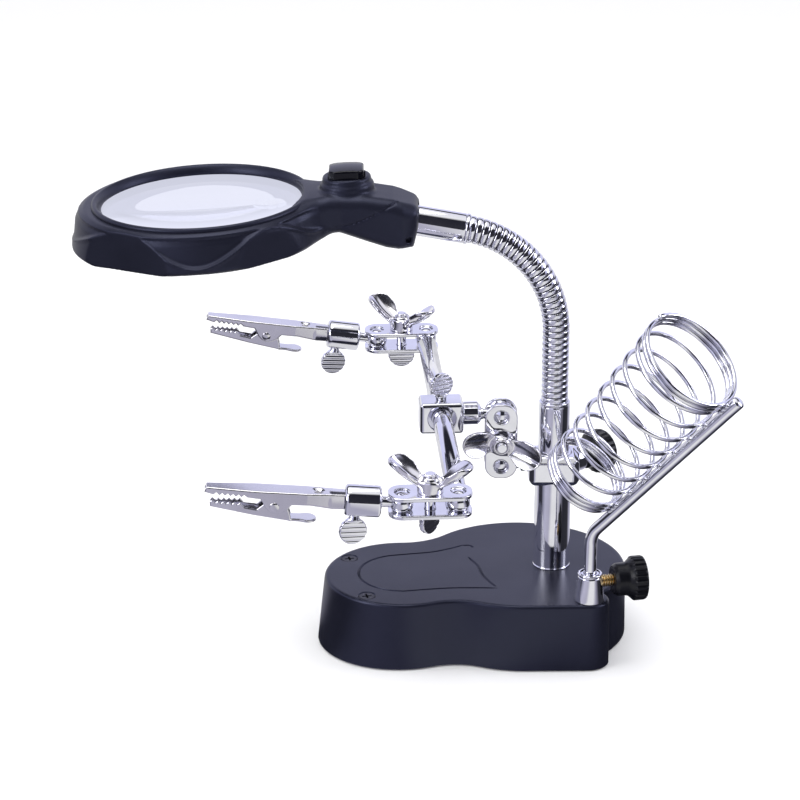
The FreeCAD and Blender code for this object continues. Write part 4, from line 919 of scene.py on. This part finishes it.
def f_head(p):
    x, y, z = p
    mound = f_rod(p, 8.9, (BUTTON_X, 0, -6.0), (BUTTON_X, 0, 3.2), 1.5)
    collar = f_rod(p, 8.0, (BUTTON_X, 0, -4.0), (BUTTON_X, 0, 5.0), 1.0)
    body = blend_in(f_skirt(p), f_handle(p), 5.0)
    body = blend_in(blend_in(body, mound, 1.2), collar, 0.5)
    well = f_box(p, (BUTTON_X - WELL_HALF, -WELL_HALF, -0.5), (BUTTON_X + WELL_HALF, WELL_HALF, 9.0), 0.9)
    body = cut_out(body, np.maximum(well, f_rod(p, 7.05, (BUTTON_X, 0, -0.5), (BUTTON_X, 0, 9.0), 0.3)))
    seam = np.maximum(np.abs(z - seam_height(x)) - 0.24, GRIP_START - x)
    body = cut_out(body, np.maximum(seam, np.abs(body) - 0.40))
    room = f_polygon(np.hypot(x, y), z, RING_ROOM)
    sleeve = f_rod(p, 5.12, *FERRULE_LINE, 0.05)
    screw_hole = f_rod(p, 1.1, (69.0, 0, -22.0), (69.0, 0, -12.0), 0.05)
    side_hole = f_rod(p, 1.0, (67.4, -13.0, -15.2), (67.4, -8.0, -15.2), 0.05)
    led_holes = [f_rod(p, 1.55, (u, v, -20.0), (u, v, -8.0), 0.02) for u, v in LED_PLACES]
    return cut_out(body, f_hole(x, y, OPENING_R + 0.6), room, sleeve, screw_hole, side_hole, *led_holes)


def f_button(p):
    cap = f_box(p, (BUTTON_X - CAP_HALF, -CAP_HALF, -0.9), (BUTTON_X + CAP_HALF, CAP_HALF, 8.2), 1.3)
    crown = f_ball(p, (BUTTON_X, 0, -30.0), 38.15)
    return np.maximum(np.maximum(cap, crown), f_rod(p, 6.85, (BUTTON_X, 0, -0.9), (BUTTON_X, 0, 8.4), 0.8))


def lens_outline():
    """A convex lens from the middle of its lower face to the middle of its upper one."""
    middle, edge, crown = -4.2, 1.2, 2.4
    radius = (OPENING_R ** 2 + crown ** 2) / (2 * crown)
    faces = []
    for side in (-1, 1):
        reaches = [OPENING_R * step / 39 for step in range(40)]
        rise = edge + crown - radius
        faces.append([(r, middle + side * (rise + math.sqrt(radius ** 2 - r * r))) for r in reaches])
    rim = [(34.2, middle - edge), (34.3, middle - edge + 0.2), (34.3, middle + edge - 0.2), (34.2, middle + edge)]
    return faces[0] + rim + faces[1][::-1]


def build_head():
    carve("lamp_head_shells", f_head, (-47, -46, -21), (76, 46, 8), 0.55, HEAD, "lamp_head", SHELL_PLASTIC,
          ["head_upper_shell", "head_lower_shell"])
    lip = [(33.0, -2.4), (33.0, -1.9), (34.2, -0.3)] + arc((35.2, -0.75), 1.05, 120, -20, 8)
    lathe("lens_ring_lip", lip + [(36.2, -2.4), (33.0, -2.4)], HEAD, "lamp_head", SHELL_PLASTIC, ["lens_ring"],
          0, 160)
    lathe("main_lens_ground", lens_outline(), HEAD, "lamp_head", LENS, ["main_lens"], 0, 160)
    carve("power_button_cap", f_button, (BUTTON_X - 7, -7, -2), (BUTTON_X + 7, 7, 10), 0.28, HEAD, "power_button",
          BUTTON_PLASTIC, ["power_button"])


# ---------------------------------------------------------------- clamps and arms

BALL_R, BOLT_R = 3.8, 1.75
PLATE_GAP, PLATE_T, PLATE_W = 2.4, 1.35, 11.0
PLATE_END, PLATE_ROUND = 4.4, 4.7
NUT_TURNS = {"link": 76.0, "far": -38.0, "near": -17.0}
BOLT_TURNS = {"link": 0.0, "far": 0.0, "near": 50.0}
SEAT = PLATE_GAP + PLATE_T
PADDLE_HALF = 0.95


def f_paddle(p, radius, centre_z):
    """A ribbed round thumb plate standing on edge, seen face on along Y."""
    _, y, z = p
    disc = f_rod(p, radius, (0, -PADDLE_HALF, centre_z), (0, PADDLE_HALF, centre_z), 0.35)
    wave = np.cos((z - centre_z) * 2 * math.pi / (radius * 0.36))
    return disc + 0.16 * smooth_step(wave) * (np.abs(y) > 0.4 * PADDLE_HALF)


def f_thread(p, radius, low, high, depth=0.16, pitch=0.8):
    x, y, z = p
    phase = z / pitch + np.arctan2(y, x) / (2 * math.pi)
    tooth = depth * (0.5 - 0.5 * np.cos(2 * math.pi * phase))
    return corner(np.hypot(x, y) - radius + tooth, np.abs(z - (low + high) / 2) - (high - low) / 2, 0.15) * 0.8


def f_wing_nut(p):
    x, y, z = p
    hub = f_cone(p, 4.25, 3.35, (0, 0, 0), (0, 0, 4.3), 0.5)
    crown = f_cone(p, 3.3, 2.7, (0, 0, 3.6), (0, 0, 5.2), 0.4)
    body = blend_in(hub, crown, 0.5)
    wings = None
    for side in (1, -1):
        u, v, w = moved((x * side, y * side, z), move(0, 0, 1.4) @ turn(-29, "Y"))
        cup = w - 0.115 * v ** 2 - 0.020 * np.maximum(u - 7.0, 0.0) ** 2 + 0.9
        half = 2.9 + 1.8 * smooth_step((u - 3.0) / 6.0)
        tip = np.hypot(np.maximum(u - 11.2, 0), v) - half
        outline = np.maximum(tip, 1.0 - u)
        thick = np.abs(cup) / np.sqrt(1 + (0.27 * v) ** 2) - 0.6
        wing = corner(outline, thick, 0.45) * 0.85
        wings = wing if wings is None else np.minimum(wings, wing)
    funnel = f_cone(p, 1.8, 2.5, (0, 0, 4.5), (0, 0, 5.4), 0.0)
    return cut_out(blend_in(body, wings, 1.3), z, f_hole(x, y, BOLT_R + 0.12), funnel)


def f_plate_outline(x, y):
    """A round-cornered plate about the two ball joints."""
    long = np.abs(x + ARM_SPAN / 2) - ARM_SPAN / 2 - PLATE_END
    wide = np.abs(y) - PLATE_W / 2
    return corner(long, wide, PLATE_ROUND)


def plate_field(side):
    def field(p):
        x, y, z = p
        middle = side * (PLATE_GAP + PLATE_T / 2)
        plate = corner(f_plate_outline(x, y), np.abs(z - middle) - PLATE_T / 2, 0.35)
        for at in (0.0, -ARM_SPAN):
            plate = blend_cut(plate, f_hole(x, y, 2.45, (at, 0.0)), 0.35)
            plate = cut_out(plate, f_ball(p, (at, 0, 0), BALL_R + 0.03))
        return cut_out(plate, f_hole(x, y, BOLT_R + 0.1, (-ARM_SPAN / 2, 0.0)))
    return field


def f_arm_bolt(p):
    shank = f_rod(p, BOLT_R, (0, 0, -SEAT - 0.6), (0, 0, SEAT + 0.4), 0.1)
    end = f_thread(p, BOLT_R, SEAT + 0.2, SEAT + 6.2)
    collar = f_rod(p, 2.9, (0, 0, -SEAT - 1.0), (0, 0, -SEAT - 0.03), 0.25)
    paddle = f_paddle(p, 4.8, -SEAT - 2.2)
    paddle = np.maximum(paddle, p[2] + SEAT + 0.5)
    return np.minimum(np.minimum(shank, end), np.minimum(collar, paddle))


def build_arm(name, place, body, nodes):
    """Plates, bolt and wing nut between two ball joints."""
    plates, bolt, nut = nodes
    for side, word in ((1, "upper"), (-1, "lower")):
        low, high = sorted((side * (PLATE_GAP - 0.3), side * (SEAT + 0.3)))
        carve(f"{name}_plate_{word}", plate_field(side), (-24, -7, low), (6, 7, high), 0.22, place,
                          body, CHROME, ())
    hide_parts(plates)
    middle = place @ move(-ARM_SPAN / 2, 0, 0)
    spin = turn(BOLT_TURNS[name], "Z")
    carve(f"{name}_bolt_ribbed", f_arm_bolt, (-5.4, -3.2, -SEAT - 8), (5.4, 3.2, SEAT + 7), 0.2, middle @ spin,
          body, CHROME, [bolt])
    seat = middle @ move(0, 0, SEAT + 0.03) @ turn(NUT_TURNS[name], "Z")
    carve(f"{name}_wings", f_wing_nut, (-17, -7, -0.6), (17, 7, 15.5), 0.28, seat, nut, CAST_CHROME, [nut])


def ball_outline(neck_r, neck_end, pin_r, pin_end):
    """A ball at the origin with a neck and a pin along +Z."""
    stop = math.degrees(math.asin(neck_r / BALL_R))
    outline = arc((0.0, 0.0), BALL_R, -90, 90 - stop, 27)
    outline += [(neck_r, neck_end - 0.3), (neck_r + 0.05, neck_end), (pin_r, neck_end + 0.1)]
    return outline + [(pin_r, pin_end), (0.0, pin_end)]


def build_studs():
    to_bar = WORK @ move(*TOP_BALL) @ turn(-90, "Y")
    to_post = WORK @ move(*LOW_BALL) @ turn(90, "Y")
    for name, outline, place in (("post_ball_stud", ball_outline(1.7, 5.3, 2.0, 10.6), to_post),
                                 ("bar_ball_stud", ball_outline(1.7, 6.2, 2.0, 11.5), to_bar)):
        turned(f"{name}_turned", outline, place, name, name)
    half = ball_outline(1.8, 5.0, 1.8, 5.2)[:-2] + [(1.8, 5.2), (2.2, 5.6), (3.1, 6.7), (3.3, 7.0)]
    half = [(r, z - BAR_HALF) for r, z in half]
    bar = half + [(r, -z) for r, z in half[::-1]]
    turned("cross_bar_turned", bar, BAR @ turn(-90, "X"), "cross_bar", "cross_bar", 0.0, 96)


def f_post_clamp(p):
    x, y, _ = p
    block = f_block(p, (0, 0, 60.4), (8.6, 7.6, 5.2), 1.9, 0.35, 0.3)
    boss = f_rod(p, 2.9, (-11.2, 0, 61.5), (-5.0, 0, 61.5), 0.3)
    side_end = tuple(move(0, 0, 60.4) @ turn(40, "Z") @ Vector((12.0, 0, 0)))
    side = f_rod(p, 4.6, (0, 0, 60.4), side_end, 0.4)
    body = blend_in(blend_in(block, boss, 0.6), side, 0.8)
    return blend_cut(body, f_hole(x, y, 6.26), 0.25)


def f_bar_clamp(p):
    x, y, z = p
    block = f_block(p, (0, 0, -0.1), (7.4, 5.0, 5.5), 0.9, 0.3, 0.25)
    mouth = f_hole(x, z, 3.36) - np.maximum(np.abs(y) - 3.2, 0) * 0.85
    block = blend_cut(block, mouth, 0.2)
    hexagon = np.maximum(np.abs(z) * math.cos(math.pi / 6) + np.abs(y) * 0.5, np.abs(y)) - 3.9
    boss = corner(hexagon, np.abs(x - 9.9) - 3.5, 0.35)
    boss = np.maximum(boss, f_hole(y, z, 4.0) + np.maximum(x - 12.3, 0))
    stud_hole = f_rod(p, 2.03, (8.0, 0, 0), (16.0, 0.0, 0.0), 0.0)
    screw_hole = f_rod(p, 1.68, (0, 0, 2), (0, 0, 9), 0.0)
    return cut_out(np.minimum(block, boss), stud_hole, screw_hole)


def screw_field(shank_r, inner, outer, disc_r):
    """A thumb screw along -Z: threaded shank from inner to outer, then its ribbed paddle."""
    def field(p):
        shank = f_thread(p, shank_r, -outer - 1.6, inner, 0.12, 0.7)
        neck = f_cone(p, shank_r, shank_r + 0.5, (0, 0, -outer + 0.3), (0, 0, -outer - 1.2), 0.15)
        paddle = f_paddle(p, disc_r, -outer - disc_r - 0.7)
        return blend_in(np.minimum(shank, neck), paddle, 0.6)
    return field


def build_clamps():
    carve("post_clamp_block", f_post_clamp, (-13, -9, 54), (14, 13, 67), 0.26, WORK, "post_clamp", CHROME,
          ["post_clamp"])
    knob = [(0.0, 6.3), (2.0, 6.3), (2.0, 13.0)] + knob_outline(13.0, *CLAMP_RIM)[1:]
    build_knob("post_clamp_knob", knob, CLAMP_RIM, KNOB_SIDE, "post_clamp_knob")
    build_arm("link", LINK, "link", ("link_plates", "link_bolt", "link_wing_nut"))
    carve("bar_clamp_block", f_bar_clamp, (-8.5, -6, -6.5), (14.5, 6, 6.5), 0.24, BAR, "bar_clamp", CHROME,
          ["bar_clamp"])
    carve("bar_clamp_screw_ribbed", screw_field(1.6, -3.4, 5.6, 4.25), (-5.2, -3, -16.5), (5.2, 3, -2.5), 0.2,
          BAR @ turn(25, "Z") @ turn(180, "X"), "bar_clamp_screw", CHROME, ["bar_clamp_screw"])
    for side in ("far", "near"):
        build_arm(side, ARM[side], f"{side}_arm", (f"{side}_arm_plates", f"{side}_arm_bolt", f"{side}_wing_nut"))
        build_clip(side)


# ---------------------------------------------------------------- spring clips
# Each has its ball joint at the origin and lies along -X.

TIP, JAW_TOP, SHEET, JAW_HALF = -61.5, 2.6, 0.7, 3.3
PIVOT, RIVET_R, THUMB_X = (-40.0, -2.4), 1.05, -29.4
SPRING_TURNS, SPRING_R, SPRING_HALF = 4.5, 1.62, 1.7
SOCKET = [
    (2.05, 6.6), (4.2, 6.6), (4.85, 6.95), (5.05, 7.4), (5.05, 16.6), (4.95, 17.4), (4.5, 18.0), (3.3, 18.0),
    (3.2, 17.6), (3.2, 11.4), (2.05, 11.4), (2.05, 6.6),
]
RIVET_END = [(1.0, 3.32), (1.5, 3.32), (1.4, 3.52), (0.9, 3.72), (0.0, 3.78)]


def teeth(start, low, high):
    """Five pointed teeth along a jaw's edge."""
    return [(start + 0.85 * step, (low, high)[step % 2]) for step in range(10)]


def jaw_half(x):
    """Half the upper jaw's width along its length."""
    at = [TIP - 1, -46.0, -30.0, -22.0, -17.0]
    half = [1.9, JAW_HALF, JAW_HALF, 2.7, 2.4]
    return np.interp(x, at, half)


def upper_side():
    side = [(-18.0, JAW_TOP), (TIP, JAW_TOP), (TIP - 0.6, 0.9), (-59.2, 0.2), (-58.3, 1.1)]
    side += teeth(-57.3, 0.1, 1.0)
    side += [(-48.6, 0.2), (-44.6, 0.0), (-43.8, -1.2), (-42.9, -2.8), (-41.5, -4.1), (-39.8, -4.7),
             (-37.6, -4.3), (-35.8, -3.1), (-34.6, -1.5), (-29.0, -1.4), (-22.0, -2.4), (-18.0, -2.3)]
    return side


def f_upper_jaw(p):
    x, y, z = p
    half = jaw_half(x)
    outer = corner(f_polygon(x, z, upper_side()), np.abs(y) - half, 0.45)
    room = np.maximum(np.abs(y) - half + SHEET, z - JAW_TOP + SHEET)
    room = np.maximum(room, x + 22.0)
    body = cut_out(blend_cut(outer, room, 0.25), f_hole(x, z, RIVET_R, PIVOT))
    body = blend_cut(body, f_ball(p, (-26.5, 0, JAW_TOP + 2.2), 2.9), 0.3)
    tail = f_rod(p, 2.55, (-22.5, 0, 0), (-12.0, 0, 0), 0.3)
    bore = f_rod(p, 1.8, (-21.5, 0, 0), (-11.0, 0, 0), 0.0)
    screw_hole = f_rod(p, 1.7, (-14.6, 0, 0), (-14.6, 0, -9), 0.0)
    return cut_out(blend_in(body, tail, 1.0), bore, screw_hole)


def lower_side():
    side = [(-60.2, -2.6), (-59.3, -2.0)]
    side += teeth(-58.4, -2.9, -2.1)
    side += [(-49.4, -3.6), (-45.4, -4.0), (-43.8, -2.5), (-42.0, -0.9), (-38.5, -0.9), (-35.6, -3.2),
             (-34.6, -6.0), (-34.6, -7.4), (-60.0, -4.3)]
    return side


def f_lower_jaw(p):
    x, y, z = p
    full = JAW_HALF - SHEET - 0.12
    half = np.interp(x, [-61.0, -46.0, -33.0], [1.15, full, full])
    outer = corner(f_polygon(x, z, lower_side()), np.abs(y) - half, 0.35)
    floor = -7.4 + (x + 34.6) * (-3.1 / 25.4)
    room = np.maximum(np.abs(y) - half + 0.6, floor + 0.7 - z)
    body = cut_out(blend_cut(outer, room, 0.2), f_hole(x, z, RIVET_R, PIVOT))
    stem = np.maximum(np.abs(y) - 2.3, np.maximum(-35.0 - x, x - THUMB_X))
    disc = f_hole(x, y, 2.9, (THUMB_X, 0.0))
    paddle = corner(blend_in(stem, disc, 0.8), np.abs(z + 7.05) - 0.45, 0.3)
    paddle = blend_cut(paddle, f_ball(p, (THUMB_X, 0, -9.4), 2.6), 0.3)
    return blend_in(body, paddle, 0.5)


def spring_line():
    points = []
    for share in np.linspace(0, 1, 121):
        angle = 2 * math.pi * SPRING_TURNS * share
        y = SPRING_HALF * (2 * share - 1)
        points.append((PIVOT[0] + SPRING_R * math.cos(angle), y, PIVOT[1] + SPRING_R * math.sin(angle)))
    return points


def build_clip(side):
    place, clip = CLIP[side], f"{side}_clip"
    back = place @ turn(-90, "Y")
    turned(f"{clip}_stud_turned", ball_outline(1.7, 6.2, 2.0, 10.6), back, f"{clip}_stud", f"{clip}_stud")
    turned(f"{clip}_socket_turned", SOCKET, back, clip, f"{clip}_socket", 0.18)
    carve(f"{side}_socket_screw_ribbed", screw_field(1.5, -2.65, 5.45, 4.5), (-5.5, -3, -17), (5.5, 3, -2), 0.2,
          place @ move(-14.6, 0, 0) @ turn(12, "Z"), f"{side}_socket_screw", CHROME, [f"{side}_socket_screw"])
    carve(f"{side}_jaw_upper_stamped", f_upper_jaw, (-63.5, -4.2, -5.6), (-11, 4.2, 3.6), 0.21, place, clip,
          CLIP_STEEL, [f"{side}_upper_jaw"])
    carve(f"{side}_jaw_lower_stamped", f_lower_jaw, (-62, -3.8, -8.4), (-25.6, 3.8, 0.2), 0.21, place,
          f"{side}_lower_jaw", CLIP_STEEL, [f"{side}_lower_jaw"])
    rivet = [(r, -z) for r, z in RIVET_END[::-1]] + RIVET_END
    lathe(f"{clip}_rivet_headed", rivet, place @ move(PIVOT[0], 0, PIVOT[1]) @ turn(-90, "X"), clip, CLIP_STEEL,
          [f"{clip}_rivet"], 0, 40)
    tube(f"{clip}_spring_wound", spring_line(), 0.36, place, clip, SPRING_STEEL, [f"{clip}_spring"],
         8)


# ---------------------------------------------------------------- finishes of the pieces kept from the CAD

KEPT = {
    "base_cover": BASE_PLASTIC, "anti_slip_pad": PAD_RUBBER, "ballast_weight": CAST_IRON,
    "base_screws": BLACK_OXIDE_AND_CLEFT_SHADE, "battery_door": BASE_PLASTIC, "battery_cells": CELL_WRAP,
    "battery_contacts": SPRING_STEEL, "post_nut": CHROME, "inset_lens": LENS, "led_lamps": LED_CLEAR,
    "head_screws": BLACK_OXIDE_AND_CLEFT_SHADE,
}


def finish_kept():
    for name, material in KEPT.items():
        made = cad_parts[name]
        for slot in made.material_slots:
            slot.link = "OBJECT"
            slot.material = material


# ---------------------------------------------------------------- room, lights and camera

def look(made, eye, target):
    made.location = eye
    made.rotation_euler = (Vector(target) - Vector(eye)).to_track_quat("-Z", "Y").to_euler()


def area(name, eye, target, width, height, power, colour):
    light = bpy.data.lights.new(name, "AREA")
    light.shape = "RECTANGLE"
    light.size, light.size_y = width, height
    light.energy, light.color = power, colour
    made = bpy.data.objects.new(name, light)
    bpy.context.scene.collection.objects.link(made)
    look(made, eye, target)
    made.visible_camera = False


FRONT = (-0.203, -0.979, 0.0)      # level direction from the object to the camera
ASIDE = (0.979, -0.203, 0.0)
# What shiny pieces see round the object, as (share, colour) stops. AROUND goes by turn, a full turn in 1 from the
# side away from the camera. ABOVE and AHEAD go by height, from level to overhead, and BLINDS says by turn where
# the screen that shows AHEAD stands on the camera's side.
BLACK, DIM, WHITE, COOL = (0.0, 0.0, 0.0), (0.02, 0.02, 0.03), (1.0, 1.0, 1.0), (0.95, 0.95, 1.0)
AROUND = (
    (0.0, COOL), (0.1, WHITE), (0.17, (0.62, 0.61, 0.74)), (0.21, (0.05, 0.05, 0.07)), (0.3, (0.03, 0.03, 0.04)),
    (0.34, (0.3, 0.3, 0.4)), (0.4, (0.62, 0.61, 0.76)), (0.49, (0.55, 0.54, 0.66)), (0.53, WHITE), (0.61, WHITE),
    (0.65, (0.42, 0.41, 0.52)), (0.7, (0.03, 0.03, 0.04)), (0.79, (0.04, 0.04, 0.05)), (0.83, (0.55, 0.54, 0.68)),
    (0.9, COOL), (1.0, COOL),
)
ABOVE = (
    (0.0, (0.64, 0.66, 1.0)), (0.3, (0.76, 0.77, 1.05)), (0.56, (0.8, 0.81, 1.05)), (0.61, (0.1, 0.1, 0.13)),
    (0.64, DIM), (0.76, DIM), (0.8, (0.9, 0.9, 1.0)), (1.0, WHITE),
)
BLINDS = ((0.0, BLACK), (0.46, BLACK), (0.48, WHITE), (0.63, WHITE), (0.66, BLACK), (1.0, BLACK))
AHEAD = ((0.0, (0.03, 0.03, 0.04)), (0.88, DIM), (0.95, WHITE), (1.0, WHITE))
SKYLINE = (0.14, 0.22)             # heights between which AROUND gives way to ABOVE
FLOOR_HALF, FLOOR_GLOW = 6.0, 0.85
ROOM_CENTRE = (-0.05, 0.0, 0.0)
LIGHTS = (      # name, place, target, width, height, power, colour
    ("overhead", (-0.15, 0.05, 0.85), (-0.05, 0, 0.05), 0.5, 0.5, 2.2, (1, 1, 1)),
    ("left_window", (-0.85, -0.30, 0.50), (-0.05, 0, 0.08), 0.35, 0.6, 3.2, (1, 1, 1)),
    ("right_window", (0.75, -0.20, 0.45), (0.0, 0, 0.08), 0.25, 0.6, 2.4, (0.92, 0.92, 1.0)),
)
CAMERA_AT, CAMERA_TILT, CAMERA_TURN = (-0.2174, -0.7921, 0.3907), 69.5, -11.7
LENS_MM, SENSOR_MM = 116.55, 36.0


def colour_stops(bands, stops):
    """Fill a colour ramp from a table of (place, colour)."""
    made = bands.color_ramp.elements
    made[0].position, made[0].color = stops[0][0], stops[0][1] + (1.0,)
    made[1].position, made[1].color = stops[-1][0], stops[-1][1] + (1.0,)
    for at, colour in stops[1:-1]:
        made.new(at).color = colour + (1.0,)


def banded(tree, value, *tables):
    """Looks one value up in each table."""
    colours = []
    for table in tables:
        bands = tree.nodes.new("ShaderNodeValToRGB")
        colour_stops(bands, table)
        tree.links.new(value, bands.inputs["Fac"])
        colours.append(bands.outputs["Color"])
    return colours


def surroundings(tree, direction, *tables):
    """Colours seen by shiny pieces in a direction round the object, one for each table."""
    along = []
    for axis in (ASIDE, FRONT):
        dot = tree.nodes.new("ShaderNodeVectorMath")
        dot.operation = "DOT_PRODUCT"
        dot.inputs[1].default_value = axis
        tree.links.new(direction, dot.inputs[0])
        along.append(dot.outputs["Value"])
    turn_to = tree.nodes.new("ShaderNodeMath")
    turn_to.operation = "ARCTAN2"
    tree.links.new(along[0], turn_to.inputs[0])
    tree.links.new(along[1], turn_to.inputs[1])
    return banded(tree, map_range(tree, turn_to.outputs[0], -math.pi, math.pi), *tables)


def mix_colours(tree, factor, a, b):
    mix = tree.nodes.new("ShaderNodeMix")
    mix.data_type = "RGBA"
    sockets = [s for s in mix.inputs if s.type == "RGBA"]
    result = [s for s in mix.outputs if s.type == "RGBA"][0]
    for value, socket in ((factor, mix.inputs["Factor"]), (a, sockets[0]), (b, sockets[1])):
        if isinstance(value, tuple):
            socket.default_value = value
        else:
            tree.links.new(value, socket)
    return result


def build_world():
    """White to the eye; shiny things also see dark screens round the object and a white sheet overhead."""
    world = bpy.data.worlds.new("studio")
    bpy.context.scene.world = world
    world.use_nodes = True
    tree = world.node_tree
    tree.nodes.clear()
    direction = node(tree, "ShaderNodeTexCoord").outputs["Generated"]
    height = node(tree, "ShaderNodeSeparateXYZ", Vector=direction).outputs["Z"]
    above, ahead = banded(tree, height, ABOVE, AHEAD)
    around, blinds = surroundings(tree, direction, AROUND, BLINDS)
    behind = mix_colours(tree, map_range(tree, height, *SKYLINE), around, above)
    seen = mix_colours(tree, blinds, behind, ahead)
    path = node(tree, "ShaderNodeLightPath")
    colour = mix_colours(tree, path.outputs["Is Glossy Ray"], grey(1.0), seen)
    back = node(tree, "ShaderNodeBackground", Color=colour)
    node(tree, "ShaderNodeOutputWorld", Surface=back.outputs[0])


def floor_material():
    """A matt pale floor. Shiny pieces see the screens mirrored in it."""
    material, tree, shader = new_material("pale_floor")
    shader.inputs["Base Color"].default_value = (0.93, 0.93, 0.94, 1)
    shader.inputs["Roughness"].default_value = 0.8
    centre = tree.nodes.new("ShaderNodeVectorMath")
    centre.operation = "SUBTRACT"
    centre.inputs[1].default_value = ROOM_CENTRE
    tree.links.new(node(tree, "ShaderNodeNewGeometry").outputs["Position"], centre.inputs[0])
    seen = surroundings(tree, centre.outputs[0], AROUND)[0]
    glow = node(tree, "ShaderNodeEmission", Color=seen, Strength=FLOOR_GLOW)
    path = node(tree, "ShaderNodeLightPath")
    mix_shaders(tree, path.outputs["Is Glossy Ray"], shader.outputs[0], glow.outputs[0])
    return material


def build_stage():
    half = FLOOR_HALF
    mesh = bpy.data.meshes.new("floor")
    mesh.from_pydata([(-half, -half, 0), (half, -half, 0), (half, half, 0), (-half, half, 0)], [], [(0, 1, 2, 3)])
    mesh.materials.append(floor_material())
    floor = bpy.data.objects.new("floor", mesh)
    bpy.context.scene.collection.objects.link(floor)
    for light in LIGHTS:
        area(*light)


def build_camera():
    data = bpy.data.cameras.new("camera")
    data.lens, data.sensor_width = LENS_MM, SENSOR_MM
    data.clip_start, data.clip_end = 0.05, 20.0
    made = bpy.data.objects.new("camera", data)
    bpy.context.scene.collection.objects.link(made)
    made.location = CAMERA_AT
    made.rotation_euler = (math.radians(CAMERA_TILT), 0.0, math.radians(CAMERA_TURN))
    bpy.context.scene.camera = made


bpy.context.scene.view_settings.view_transform = "Standard"
build_base()
turned("post_tube", POST, HERE, "base", "stand_post", 0.25, 96)
build_iron_stand()
build_neck()
build_head()
build_studs()
build_clamps()
finish_kept()
build_world()
build_stage()
build_camera()
